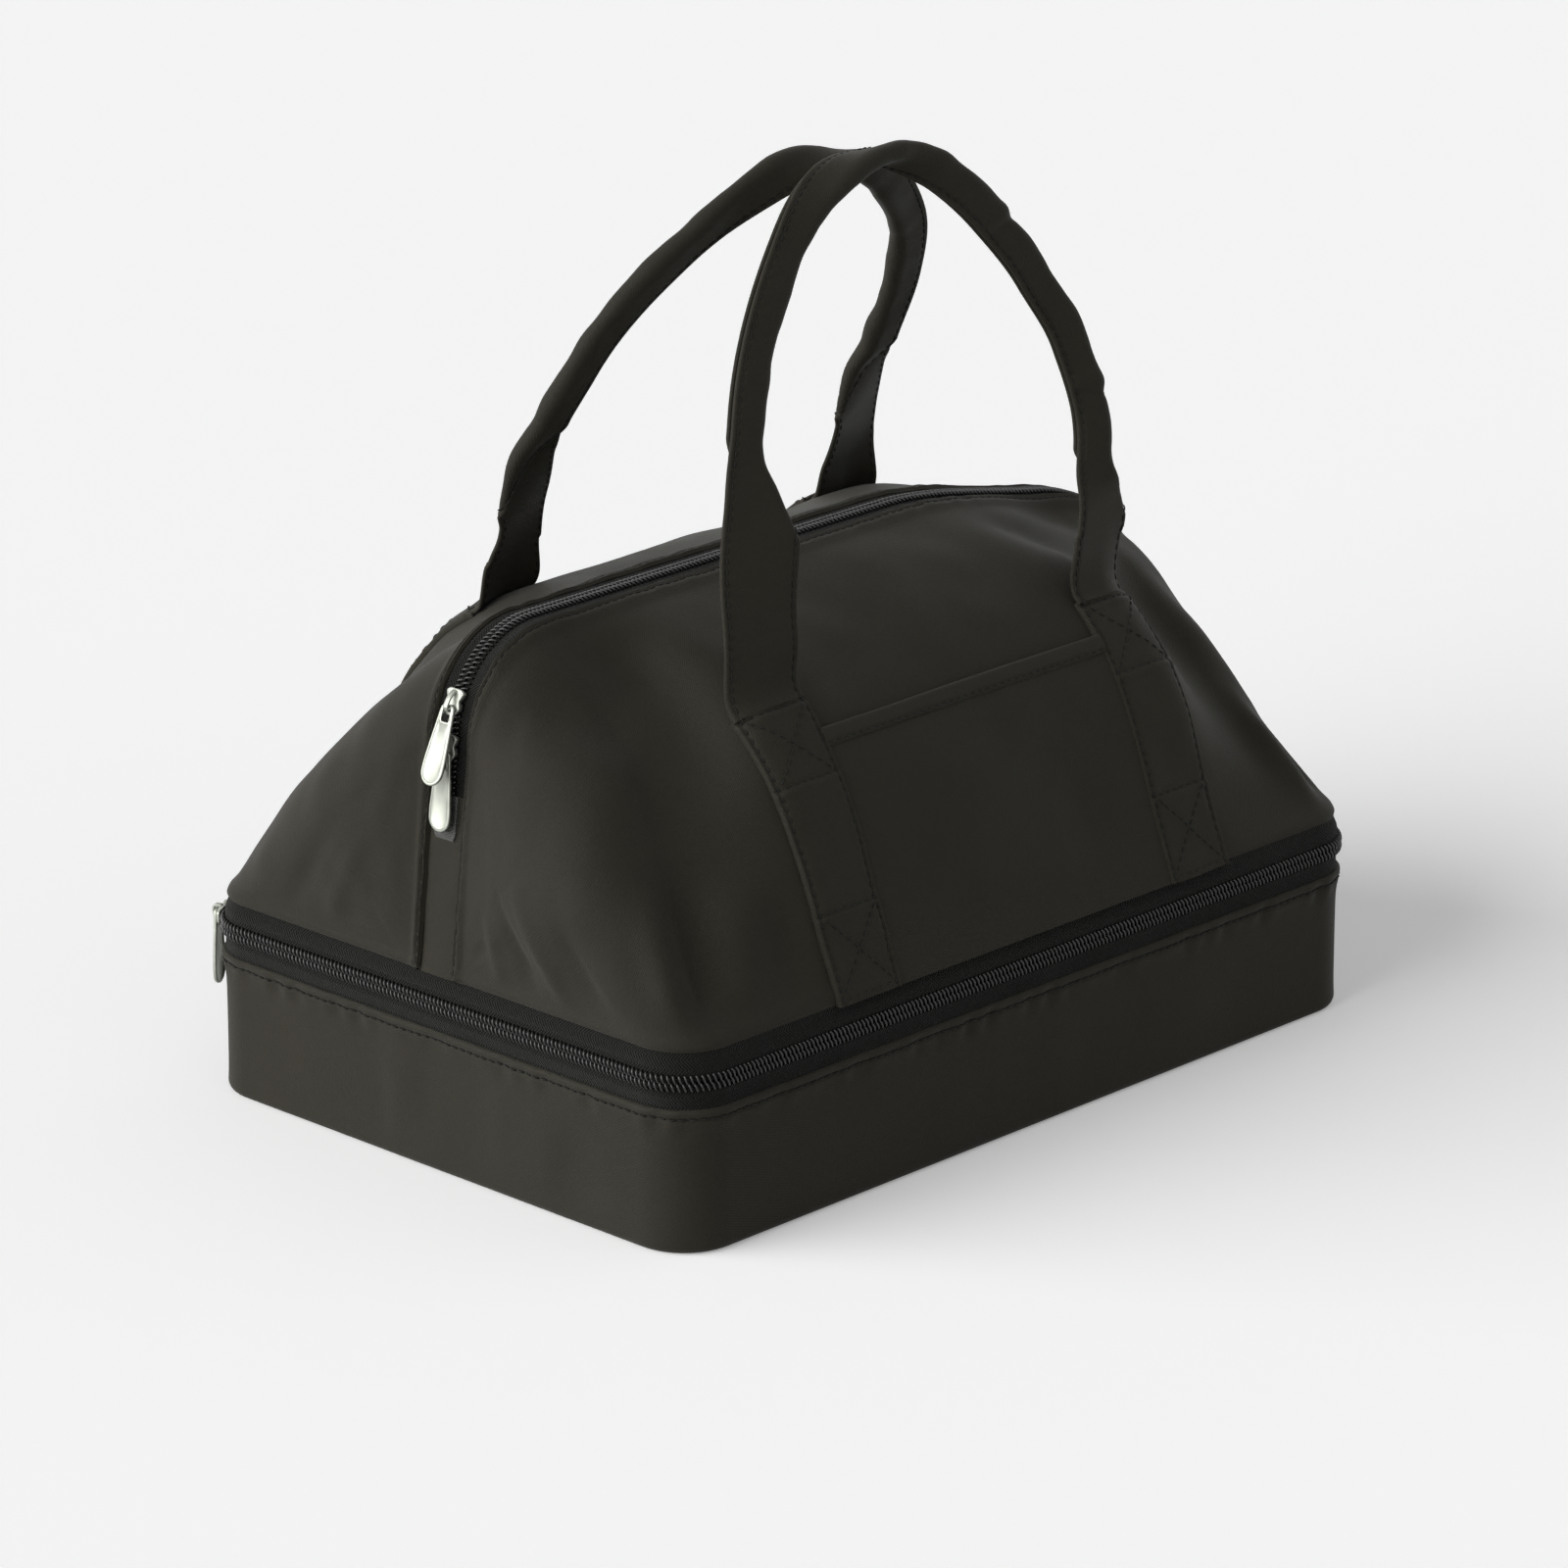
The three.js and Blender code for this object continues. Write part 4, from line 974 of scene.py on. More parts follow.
# Twist in degrees and sideways shift in metres against the distance from the root, left leg then right leg
HANDLES = {
    "front": dict(
        rise=0.216, lean=11.9, inset=0.026, bow=0.002, power=0.44, root=(-0.09134, 0.20927), towards=1,
        flat_turn=270, flat=(0.054, 0.024), fold=(0.060, 0.040),
        twist=(
            [(0, 0), (0.030, 8), (0.066, 16), (0.120, 0)],
            [(0, 4), (0.024, 11), (0.036, 11), (0.070, -10), (0.120, -10), (0.190, 0)],
        ),
        shift=(
            [(0, 0), (0.2, 0)],
            [(0, 0), (0.040, 0.002), (0.085, 0.0075), (0.115, 0.006), (0.150, 0.002), (0.190, 0)],
        ),
    ),
    "back": dict(
        rise=0.214, lean=25.7, inset=0.032, bow=-0.007, power=0.31, root=(0.07399, 0.22146), towards=-1,
        flat_turn=90, flat=(0.048, 0.050), fold=(0.052, 0.042),
        twist=(
            [(0, 2), (0.045, -18), (0.100, 8), (0.180, 8), (0.230, 0)],
            [(0, 8), (0.052, 18), (0.096, -8), (0.140, -8), (0.200, 0)],
        ),
        shift=(
            [(0, 0), (0.050, 0.002), (0.092, -0.004), (0.125, 0), (0.2, 0)],
            [(0, 0), (0.050, 0), (0.088, -0.005), (0.130, -0.0025), (0.170, 0)],
        ),
    ),
}


def eased_table(x, left, tables):
    """Value that eases from row to row of a table of (distance, value), with one table for each leg."""
    found = np.zeros_like(x)
    for legs, rows in ((left, tables[0]), (~left, tables[1])):
        value = np.full_like(x, rows[0][1])
        for (x0, v0), (x1, v1) in zip(rows, rows[1:]):
            value = value + (v1 - v0) * smooth(x, x0, x1)
        found = np.where(legs, value, found)
    return found


def folded_section(fold):
    """Middle line and inner normals of the strap's section; its far half folds over as fold goes to 1."""
    curl = mix(FLAT_CURL, ROUND_CURL, float(smooth(fold, CURL_FROM_FOLD, 1)))
    crease = mix(0.5 + curl / 2, 0, fold)

    def bend(turn):
        def heading(u):
            return turn * smooth(u, crease - curl / 2, crease + curl / 2)

        fine = np.linspace(-0.5, 0.5, 201)
        mid = (heading(fine)[1:] + heading(fine)[:-1]) / 2
        steps = np.stack([np.cos(mid), np.sin(mid)], 1) * (np.diff(fine) * STRAP_WIDTH)[:, None]
        line = np.concatenate([np.zeros((1, 2)), np.cumsum(steps, axis=0)])
        return points_at(STRAP_SAMPLES, fine, line), heading(STRAP_SAMPLES)

    turn = math.pi * float(smooth(fold, -0.05, PARALLEL_FOLD))
    natural = bend(turn)[0][-1, 1]
    gap = mix(natural, EDGE_GAP, float(smooth(fold, PARALLEL_FOLD, CLOSED_FOLD)))
    if natural > EDGE_GAP and fold > PARALLEL_FOLD:
        low, high = math.pi, 1.5 * math.pi
        for _ in range(24):
            turn = (low + high) / 2
            low, high = (turn, high) if bend(turn)[0][-1, 1] > gap else (low, turn)
    line, heading = bend(turn)
    half_close = max(turn - math.pi, 0) / 2
    heading = heading - half_close
    c, s = math.cos(half_close), math.sin(half_close)
    line = line @ np.array([[c, -s], [s, c]])
    return line, np.stack([-np.sin(heading), np.cos(heading)], 1)


FOLD_TABLE = [folded_section(fold) for fold in np.linspace(0, 1, FOLD_COUNT + 1)]


def section_at(fold, place):
    """Points and normals of the folded strap at shares of its width, from the table of folds."""
    k = min(int(fold * FOLD_COUNT), FOLD_COUNT - 1)
    line, inward = (
        points_at(place, STRAP_SAMPLES, mix(before, after, fold * FOLD_COUNT - k))
        for before, after in zip(FOLD_TABLE[k], FOLD_TABLE[k + 1])
    )
    return line, unit(inward)


def strap_end_tangent(side):
    """Direction of the face where the handle leaves it, pointing up."""
    top = strap_top(side == "back")
    s = share_at(STRAP_SPREAD, top)
    step = face_point(s, top + SMALL_SHARE) - face_point(s, top)
    step[0] = 0
    return unit(step) * ([1, -1, 1] if side == "back" else [1, 1, 1])


def handle_frames(side, count):
    """Centres, directions and shape values at even steps along a handle."""
    h = HANDLES[side]
    share = np.linspace(0, 1, 2001)
    eased = share ** 3 * (share * (share * 6 - 15) + 10)
    across = -np.cos(math.pi * eased)
    height = np.sqrt(np.clip(1 - across ** 2, 0, 1)) ** h["power"]
    spread = STRAP_SPREAD - h["inset"] * (1 - np.abs(across) ** LEG_POWER)
    x = across * spread + h["bow"] * np.sin(math.pi * height)
    path = np.stack([x, h["rise"] * height], 1)
    path_run = lengths_along(path)
    total = path_run[-1]
    run = np.linspace(-ROOT_OVERLAP, total + ROOT_OVERLAP, count)
    at = points_at(run, path_run, path)
    left = (run < total / 2)[:, None]
    from_root = np.minimum(run, total - run)
    at[:, 0] += eased_table(from_root, left[:, 0], h["shift"])
    tangent = unit(np.gradient(at, axis=0))
    upright = np.where(left, [[0.0, 1.0]], [[0.0, -1.0]])
    tangent = unit(mix(upright, tangent, smooth(from_root, 0, 0.012)[:, None]))
    lean = math.radians(h["lean"])
    up = np.array([0, h["towards"] * math.sin(lean), math.cos(lean)])
    sideways = np.array([1.0, 0, 0])
    root = np.array([0, *h["root"]])
    centre = root + at[:, :1] * sideways + at[:, 1:] * up
    wide = tangent[:, 1:] * sideways - tangent[:, :1] * up
    leave = strap_end_tangent(side)
    legs = left[:, 0]
    for hand, bend_run in ((-1, ROOT_BEND), (1, total - ROOT_BEND)):
        foot = root + hand * STRAP_SPREAD * sideways
        mine = (from_root < ROOT_BEND) & (legs == (hand < 0))
        bend_x = np.interp(bend_run, path_run, path[:, 0])
        bend_h = np.interp(ROOT_BEND, path_run, path[:, 1])
        head = root + bend_x * sideways + bend_h * up
        u = from_root[mine][:, None] / ROOT_BEND
        k = np.clip(u, 0, 1)
        curve = (
            (2 * k ** 3 - 3 * k ** 2 + 1) * foot + (k ** 3 - 2 * k ** 2 + k) * ROOT_BEND * leave
            + (3 * k ** 2 - 2 * k ** 3) * head + (k ** 3 - k ** 2) * ROOT_BEND * up
        )
        centre[mine] = curve + np.minimum(u, 0) * ROOT_BEND * leave
    along = unit(np.gradient(centre, axis=0))
    facing = unit(np.cross(wide, along))
    flat = np.where(legs, *h["flat"])
    folding = np.where(legs, *h["fold"])
    fold = mix(np.clip((from_root - flat) / folding, 0, 1), smooth(from_root, flat, flat + folding), 0.85)
    settled = smooth(from_root, flat * 0.4, flat + folding + SETTLE_LENGTH)
    over = smooth(run / total, *TOP_SHARES)
    roll = np.where(legs, 180 * over, 180 * (over - 1))
    twist = eased_table(from_root, legs, h["twist"])
    return dict(
        centre=centre, wide=wide, facing=facing, fold=fold, settled=settled,
        turn=np.radians(h["flat_turn"] + roll + twist), side=np.where(legs, -1, 1), run=run,
        from_root=from_root, total=total,
    )


def root_bow(side, frames, points):
    """How far the strap's edges follow the bulging face where the handle leaves it."""
    top = strap_top(side == "back")
    foot = STRAP_SPREAD * frames["side"][:, None]
    aside = points[..., 0] - frames["centre"][:, None, 0]
    here = face_point(share_at(foot + aside, top), top)
    middle = face_point(share_at(foot, top), top)
    bow = here - middle
    bow[..., 0] -= aside
    if side == "back":
        bow[..., 1] *= -1
    return bow * (1 - smooth(frames["from_root"], 0, 0.035))[:, None, None]


def handle_surface(side_name, frames, place, lift):
    """Points and normals of a handle's strap, at shares of its width and at heights above its middle line."""
    place, lift = np.asarray(place, float), np.asarray(lift, float)
    closed = FOLD_TABLE[-1][0]
    middle = (closed.max(axis=0) + closed.min(axis=0)) / 2
    closed_held, _ = section_at(1.0, HELD_PLACE)
    points, normals = [], []
    for i, fold in enumerate(frames["fold"]):
        side, turn = frames["side"][i], frames["turn"][i]
        wide, facing = frames["wide"][i], frames["facing"][i]
        axes = np.stack([
            side * (math.sin(turn) * wide - math.cos(turn) * facing),
            math.cos(turn) * wide + math.sin(turn) * facing,
        ])
        line, inward = section_at(fold, side * place)
        held, _ = section_at(fold, HELD_PLACE)
        anchor = mix(np.array([HELD_PLACE * STRAP_WIDTH, 0]), closed_held - middle, frames["settled"][i])
        normal = inward @ axes
        points.append(frames["centre"][i] + (line - held + anchor) @ axes + normal * lift[..., None])
        normals.append(normal)
    points = np.array(points)
    return points + root_bow(side_name, frames, points), np.array(normals)


def grip_relief(side, frames, place):
    """Small cross wrinkles of the folded strap, and the creases where it has been bent."""
    run, edge = frames["run"][:, None], (0.5 - np.abs(place))[None, :] * STRAP_WIDTH
    seed = 51 if side == "front" else 52
    ripple = soft_noise(run, place[None, :] * 0.012, 0.010, seed) * 0.00045
    ripple = ripple + soft_noise(run, place[None, :] * 0.03, 0.026, seed + 4) * 0.0006
    relief = ripple * (frames["fold"][:, None] + 0.15)
    from_end = frames["total"] - run
    for crease in CREASES[side]:
        slant = from_end - crease + place[None, :] * 0.012
        relief = relief - 0.0009 * bump(slant, 0.0026) + 0.0007 * bump(slant - 0.0060, 0.0036)
    return relief * smooth(edge, 0.0, 0.005)


HANDLE_RINGS, HANDLE_STITCH_STEPS = 380, 900


def add_handle(side, material):
    frames = handle_frames(side, HANDLE_RINGS)
    edge = (0.5 - np.abs(STRAP_SAMPLES)) * STRAP_WIDTH
    half = WEBBING / 2 * rounded_edge(edge, 0.0011)
    outer, normals = handle_surface(side, frames, STRAP_SAMPLES, -half)
    inner, _ = handle_surface(side, frames, STRAP_SAMPLES, half)
    groove = 0.0004 * bump(edge - EDGE_STITCH, 0.0007)
    outer = outer - normals * (grip_relief(side, frames, STRAP_SAMPLES) - groove)[..., None]
    rings = np.concatenate([outer, inner[:, ::-1]], 1)
    vertices, faces, _ = ring_loft(rings)
    across = np.concatenate([STRAP_SAMPLES, STRAP_SAMPLES[::-1]]) * STRAP_WIDTH
    columns = rings.shape[1]
    corners = [(frames["run"][v // columns], across[v % columns]) for face in faces for v in face]
    # The strap's edges pale: partly wear, partly painted highlight along the rounded edges.
    rub = np.tile(bump(np.concatenate([edge, edge]) - 0.0005, 0.0008), len(rings))
    handle = make_piece(
        f"{side}_carry_handle", vertices, faces, corners, material, rub=rub,
        slot="strap_cloth", replaces=(f"{side}_handle",), sharp=60,
    )
    bend_handle(handle, side)
    frames = handle_frames(side, HANDLE_STITCH_STEPS)
    line = 0.5 - EDGE_STITCH / STRAP_WIDTH
    place = np.array([-line, line])
    proud = WEBBING / 2 - 0.0002
    shown, normals = handle_surface(side, frames, place, np.full(2, -proud))
    hidden, _ = handle_surface(side, frames, place, np.full(2, proud))
    open_part = frames["fold"] < 0.75
    for k in (0, 1):
        sew(f"{side}_handle", shown[:, k], -normals[:, k])
        for part in (open_part & (frames["side"] < 0), open_part & (frames["side"] > 0)):
            sew(f"{side}_handle", hidden[part, k], normals[part, k])


def bend_handle(piece, side):
    """Bakes the piece's placement into its mesh; the face's direction where the handle leaves it is found but
    not used.
    """
    leave = strap_end_tangent(side)
    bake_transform(piece)


# Things that repeat along a line: stitches, zip teeth
def follow_tree():
    """Geometry nodes that set copies of a shape along a line, standing on the line's outward direction."""
    tree = bpy.data.node_groups.new("set along a line", "GeometryNodeTree")
    for name, kind in (
        ("Line", "NodeSocketGeometry"), ("Shape", "NodeSocketObject"),
        ("Spacing", "NodeSocketFloat"), ("Finish", "NodeSocketMaterial"),
    ):
        tree.interface.new_socket(name, in_out="INPUT", socket_type=kind)
    tree.interface.new_socket("Pieces", in_out="OUTPUT", socket_type="NodeSocketGeometry")
    new = tree.nodes.new
    given, result = new("NodeGroupInput"), new("NodeGroupOutput")
    curve = new("GeometryNodeMeshToCurve")
    points = new("GeometryNodeCurveToPoints")
    points.mode = "LENGTH"
    outward = new("GeometryNodeInputNamedAttribute")
    outward.data_type = "FLOAT_VECTOR"
    outward.inputs["Name"].default_value = "outward"
    along, stand = new("FunctionNodeAlignRotationToVector"), new("FunctionNodeAlignRotationToVector")
    along.axis = "X"
    stand.axis = "Z"
    stand.pivot_axis = "X"
    shape = new("GeometryNodeObjectInfo")
    place = new("GeometryNodeInstanceOnPoints")
    real = new("GeometryNodeRealizeInstances")
    finish = new("GeometryNodeSetMaterial")
    for start, output, end, socket in (
        (given, "Line", curve, "Mesh"), (curve, "Curve", points, "Curve"),
        (given, "Spacing", points, "Length"), (points, "Tangent", along, "Vector"),
        (along, "Rotation", stand, "Rotation"),
        (outward, "Attribute", stand, "Vector"), (given, "Shape", shape, "Object"),
        (points, "Points", place, "Points"), (shape, "Geometry", place, "Instance"),
        (stand, "Rotation", place, "Rotation"), (place, "Instances", real, "Geometry"),
        (real, "Geometry", finish, "Geometry"), (given, "Finish", finish, "Material"),
        (finish, "Geometry", result, "Pieces"),
    ):
        tree.links.new(start.outputs[output], end.inputs[socket])
    return tree


FOLLOW = follow_tree()


def set_along(name, lines, shape, spacing, material):
    """Mesh object with a shape repeated along lines, each given as points and outward directions."""
    points = np.concatenate([p for p, _ in lines])
    outward = np.concatenate([n for _, n in lines])
    edges, start = [], 0
    for line, _ in lines:
        edges += [(start + i, start + i + 1) for i in range(len(line) - 1)]
        start += len(line)
    mesh = bpy.data.meshes.new(name)
    mesh.from_pydata(points.tolist(), edges, [])
    direction = mesh.attributes.new("outward", "FLOAT_VECTOR", "POINT")
    direction.data.foreach_set("vector", outward.astype(np.float32).ravel())
    piece = add_object(name, mesh)
    modifier = piece.modifiers.new("follow", "NODES")
    modifier.node_group = FOLLOW
    sockets = {item.name: item.identifier for item in FOLLOW.interface.items_tree if item.in_out == "INPUT"}
    for socket, value in (("Shape", shape), ("Spacing", spacing), ("Finish", material)):
        modifier[sockets[socket]] = value
    depsgraph = bpy.context.evaluated_depsgraph_get()
    result = bpy.data.meshes.new_from_object(piece.evaluated_get(depsgraph))
    piece.modifiers.clear()
    piece.data = result
    return piece


def pattern_shape(name, rings):
    """Hidden mesh that is only there to be repeated."""
    vertices, faces, _ = ring_loft(rings)
    mesh = bpy.data.meshes.new(name)
    mesh.from_pydata(vertices.tolist(), [], faces)
    shape = bmesh.new()
    shape.from_mesh(mesh)
    if shape.calc_volume(signed=True) < 0:
        bmesh.ops.reverse_faces(shape, faces=shape.faces)
    shape.to_mesh(mesh)
    shape.free()
    mesh.shade_smooth()
    return bpy.data.objects.new(name, mesh)


UNLIKE_ANY_PATH = (0.13, 0.2, 0.97)


def tube_rings(path, radius, sides):
    """Rings of a tube along points in space, each ring square to the path."""
    path = np.asarray(path, float)
    radius = np.broadcast_to(radius, len(path))
    tangent = unit(np.gradient(path, axis=0))
    side = unit(np.cross(tangent, UNLIKE_ANY_PATH))[:, None]
    up = np.cross(side, tangent[:, None])
    angle = np.linspace(0, 2 * math.pi, sides, endpoint=False)[None, :, None]
    ring = np.cos(angle) * side + np.sin(angle) * up
    return path[:, None] + ring * radius[:, None, None]


def stitch_shape():
    half = STITCH_LENGTH / 2
    x = half * np.array([-1, -0.86, -0.45, 0, 0.45, 0.86, 1])
    z = THREAD_RADIUS * np.array([-1.2, 0.1, 0.75, 0.9, 0.75, 0.1, -1.2])
    radius = THREAD_RADIUS * np.array([0.7, 0.95, 1, 1, 1, 0.95, 0.7])
    return pattern_shape("stitch", tube_rings(np.stack([x, 0 * x, z], 1), radius, 6))


def tooth_shape():
    """One loop of the zip's coil: it rises from the chain's middle and turns down at the tape."""
    path = [
        (-0.0006, 0.00035, 0.0003), (-0.00045, 0.00005, 0.0009), (-0.0001, -0.0007, 0.0016),
        (0.0003, -0.0017, 0.00185), (0.00065, -0.0027, 0.0016), (0.0009, -0.0034, 0.0010),
        (0.00095, -0.0035, 0.0002),
    ]
    return pattern_shape("coil loop", tube_rings(path, COIL_WIRE_RADIUS, 8))


def add_stitches(material):
    shape = stitch_shape()
    for body, lines in SEAMS.items():
        piece = set_along(f"{body}_stitches", lines, shape, STITCH_SPACING, material)
        if body.endswith("_handle"):
            bend_handle(piece, body.removesuffix("_handle"))
        else:
            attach(piece, body)


def add_coils(material):
    shape = tooth_shape()
    lengths = np.linspace(outline_length(ZIP_START_ANGLE + 1), outline_length(ZIP_END_ANGLE - 1), 900)
    chain = outline_grid(lengths, TAPE_INSET, np.full_like(lengths, TRAY_ZIP_HEIGHT))
    outward = outline_normals(lengths)
    line, normal, _ = arch_line()
    top, top_out = (np.insert(row, 1, 0, axis=1) for row in (line - normal * TAPE_INSET, normal))
    for name, body, points, directions, turned, node in (
        ("tray_lower_teeth", "tray", chain, outward, False, "tray_zip_lower_coil"),
        ("tray_upper_teeth", "bag", chain, outward, True, "tray_zip_upper_coil"),
        ("top_front_teeth", "bag", top, top_out, False, "top_zip_front_coil"),
        ("top_back_teeth", "bag", top, top_out, True, "top_zip_back_coil"),
    ):
        run = lengths_along(points)
        count = int((run[-1] - COIL_PITCH) / COIL_PITCH)
        first = COIL_PITCH / 2 if turned else 0.0
        even = np.linspace(first, first + count * COIL_PITCH, count * 3 + 1)
        points, directions = points_at(even, run, points), unit(points_at(even, run, directions))
        if turned:
            points, directions = points[::-1], directions[::-1]
        piece = set_along(name, [(points, directions)], shape, COIL_PITCH, material)
        settle(piece, body, (node,))


# Metal sliders and their tabs
SLIDER_LENGTH, SLIDER_WIDTH = 0.012, 0.0105
PLATE_LOW, PLATE_HIGH = 0.0025, 0.0038
BAR_HEIGHT = 0.0052
BAR_AHEAD = 0.0022
TAB_LENGTH, TAB_WIDTH, TAB_HEAD, TAB_THICK = 0.035, 0.0125, 0.0076, 0.0016
TAB_BAR = 0.0008
WINDOW_HALF = (0.0030, 0.0022)
WINDOW_SQUARENESS = 9
TAB_DISH = 0.00034
BAIL_REACH, BAIL_HALF_WIDTH, BAIL_HALF_THICK, BAIL_SQUARENESS = 0.00195, 0.00130, 0.00064, 0.6
WING_LOW, WING_THICK = -0.0028, 0.0009
WEB_LEVELS = (-0.0023, 0.0031)


def rounded_loop(half_outline, count, passes):
    """Closed loop of evenly spaced points from one half of an outline, its corners softened."""
    half = np.asarray(half_outline, float)
    loop = np.concatenate([half, half[::-1] * [1, -1]])
    loop = np.concatenate([loop, loop[:1]])
    run = lengths_along(loop)
    even = np.linspace(0, run[-1], count, endpoint=False)
    loop = points_at(even, run, loop)
    for _ in range(passes):
        loop = 0.25 * np.roll(loop, 1, 0) + 0.5 * loop + 0.25 * np.roll(loop, -1, 0)
    return loop


def inset_loop(loop, distance):
    """Loop moved inwards along its own normals by distances."""
    after = np.roll(loop, -1, 0)
    normal = square_to(unit(after - np.roll(loop, 1, 0)))
    turning = np.sum(loop[:, 0] * after[:, 1] - after[:, 0] * loop[:, 1])
    return loop + normal * np.sign(turning) * np.reshape(distance, (-1, 1))


def level_ring(loop, z):
    return np.column_stack([loop, np.broadcast_to(z, len(loop))])


def tab_rings():
    """Rings round a tab from its outer rim over the front to the window, and back behind."""
    wide, head = TAB_WIDTH / 2, TAB_HEAD / 2
    angle = np.linspace(math.pi / 2, 0, 9)
    arc = np.stack([TAB_LENGTH - wide + wide * np.cos(angle), wide * np.sin(angle)], 1)
    half = [(-TAB_BAR, 0), (-TAB_BAR, head * 0.62), (TAB_BAR * 0.4, head), (0.42 * TAB_LENGTH, wide * 0.86)]
    outer = rounded_loop(np.concatenate([half, [(0.70 * TAB_LENGTH, wide)], arc]), 120, 3)
    centre = np.array([TAB_BAR + WINDOW_HALF[0], 0])
    ray = unit(outer - centre)
    reach = np.sum((np.abs(ray) / WINDOW_HALF) ** WINDOW_SQUARENESS, axis=1) ** (-1 / WINDOW_SQUARENESS)
    window = centre + ray * reach[:, None]
    gap = np.linalg.norm(outer - window, axis=1)

    def from_rim(distance):
        return inset_loop(outer, np.minimum(distance, gap * 0.42))

    def from_window(distance):
        return window + ray * np.minimum(distance, gap * 0.36)[:, None]

    # Depths of the rings below the tab's highest level: rim, dished middle, raised border of the window
    dish = TAB_DISH * smooth(gap, 0.0016, 0.0032)
    border = dish * 0.6
    rim_depths = [
        (0.0, 0.0005), (0.00012, 0.0002), (0.00035, 0.00003), (0.0006, 0), (0.0011, 0),
        (0.00125, dish * 0.5), (0.0015, dish),
    ]
    window_depths = [
        (0.0011, dish), (0.0009, border), (0.0004, border), (0.00012, border + 0.0001),
        (0.0, border + 0.0003),
    ]
    middle = (mix(from_rim(0.0015), from_window(0.0011), 0.5), dish)
    levels = [
        *((from_rim(d), depth) for d, depth in rim_depths), middle,
        *((from_window(d), depth) for d, depth in window_depths),
    ]
    front = [level_ring(loop, TAB_THICK / 2 - depth) for loop, depth in levels]
    behind = [ring * [1, 1, -1] for ring in reversed(front)]
    return np.array(front + behind)


def crown_rings():
    """Rings of the slider's front plate: skirts at the sides, rounded edge, slightly domed top."""
    shares = [(-0.5, 0), (-0.5, 0.62), (-0.38, 1), (-0.06, 0.66), (0.2, 0.9), (0.5, 0.42), (0.5, 0)]
    half = [(x * SLIDER_LENGTH, y * SLIDER_WIDTH / 2) for x, y in shares]
    outer = rounded_loop(half, 96, 2)
    skirt = PLATE_LOW - 0.0011 * smooth(np.abs(outer[:, 1]), 0.0030, 0.0044)
    inner_skirt = np.minimum(skirt + 0.0002, PLATE_LOW)
    middle = outer.mean(axis=0)
    levels = [
        (0.0014, PLATE_LOW), (0.0009, PLATE_LOW), (0.0007, inner_skirt), (0.0006, skirt), (0.0001, skirt),
        (0.0, skirt + 0.0002), (0.0, PLATE_HIGH - 0.0004), (0.00015, PLATE_HIGH - 0.00012),
        (0.0004, PLATE_HIGH), (0.0010, PLATE_HIGH + 0.00008),
    ]
    rings = [level_ring(inset_loop(outer, d), z) for d, z in levels]
    for share, rise in ((0.55, 0.00016), (0.25, 0.0002)):
        rings.append(level_ring(mix(middle, outer, share), PLATE_HIGH + rise))
    return np.array(rings)


def bail_rings():
    """Rings of the arch that carries the tab, over the tab's bar."""
    angle = np.radians(np.linspace(112, -22, 12))
    hook = np.array([BAR_AHEAD, BAR_HEIGHT]) + BAIL_REACH * np.stack([np.cos(angle), np.sin(angle)], 1)
    rise = [(-0.0049, 0.0033), (-0.0046, 0.0043), (-0.0037, 0.0052), (-0.0022, 0.0060), (-0.0004, 0.0067)]
    path = np.concatenate([rise, hook, [(BAR_AHEAD + BAIL_REACH * 0.92, 0.0034)]])
    normal = square_to(unit(np.gradient(path, axis=0)))
    angle = np.linspace(0, 2 * math.pi, 12, endpoint=False)
    across, thick = (
        half * np.sign(wave) * np.abs(wave) ** BAIL_SQUARENESS
        for half, wave in ((BAIL_HALF_WIDTH, np.cos(angle)), (BAIL_HALF_THICK, np.sin(angle)))
    )
    ring = path[:, None] + normal[:, None] * thick[None, :, None]
    return np.stack([ring[..., 0], np.broadcast_to(across, ring.shape[:2]), ring[..., 1]], -1)


def wing_rings():
    """Rings of the plate behind the tapes."""
    half = SLIDER_LENGTH / 2
    loop = rounded_loop([(-half, 0), (-half, 0.0040), (half, 0.0034), (half, 0)], 64, 3)
    levels = [
        (0.0012, 0), (0.0003, 0), (0.0, 0.0002), (0.0, 0.0007), (0.0003, WING_THICK), (0.0012, WING_THICK),
    ]
    return np.array([level_ring(inset_loop(loop, d), WING_LOW + rise) for d, rise in levels])


def web_rings():
    """Rings of the post between the slider's two plates."""
    loop = rounded_loop([(-0.00175, 0), (-0.00175, 0.00025), (0.00175, 0.00025), (0.00175, 0)], 24, 1)
    return np.array([level_ring(loop, z) for z in WEB_LEVELS])


def join_parts(parts):
    """One list of vertices, faces and corner UVs from lofts, each given by rings, a matrix and their wrap."""
    vertices, faces, corners = [], [], []
    for rings, matrix, wrapped in parts:
        points, shape, uv = ring_loft(rings, wrap_rings=wrapped)
        start = sum(len(v) for v in vertices)
        vertices.append(points @ matrix[:3, :3].T + matrix[:3, 3])
        faces += [[start + v for v in face] for face in shape]
        corners += uv
    return np.concatenate(vertices), faces, corners


def placed(forward, out, at):
    matrix = np.eye(4)
    matrix[:3, :3] = np.stack([forward, np.cross(out, forward), out], 1)
    matrix[:3, 3] = at
    return matrix


def turned(angle):
    matrix = np.eye(4)
    c, s = math.cos(angle), math.sin(angle)
    matrix[:2, :2] = [[c, -s], [s, c]]
    return matrix


def add_metal(name, body, parts, material):
    vertices, faces, corners = join_parts(parts)
    make_piece(
        name, vertices, faces, corners, material,
        body=body, slot="zip_metal", replaces=(body,), sharp=40,
    )


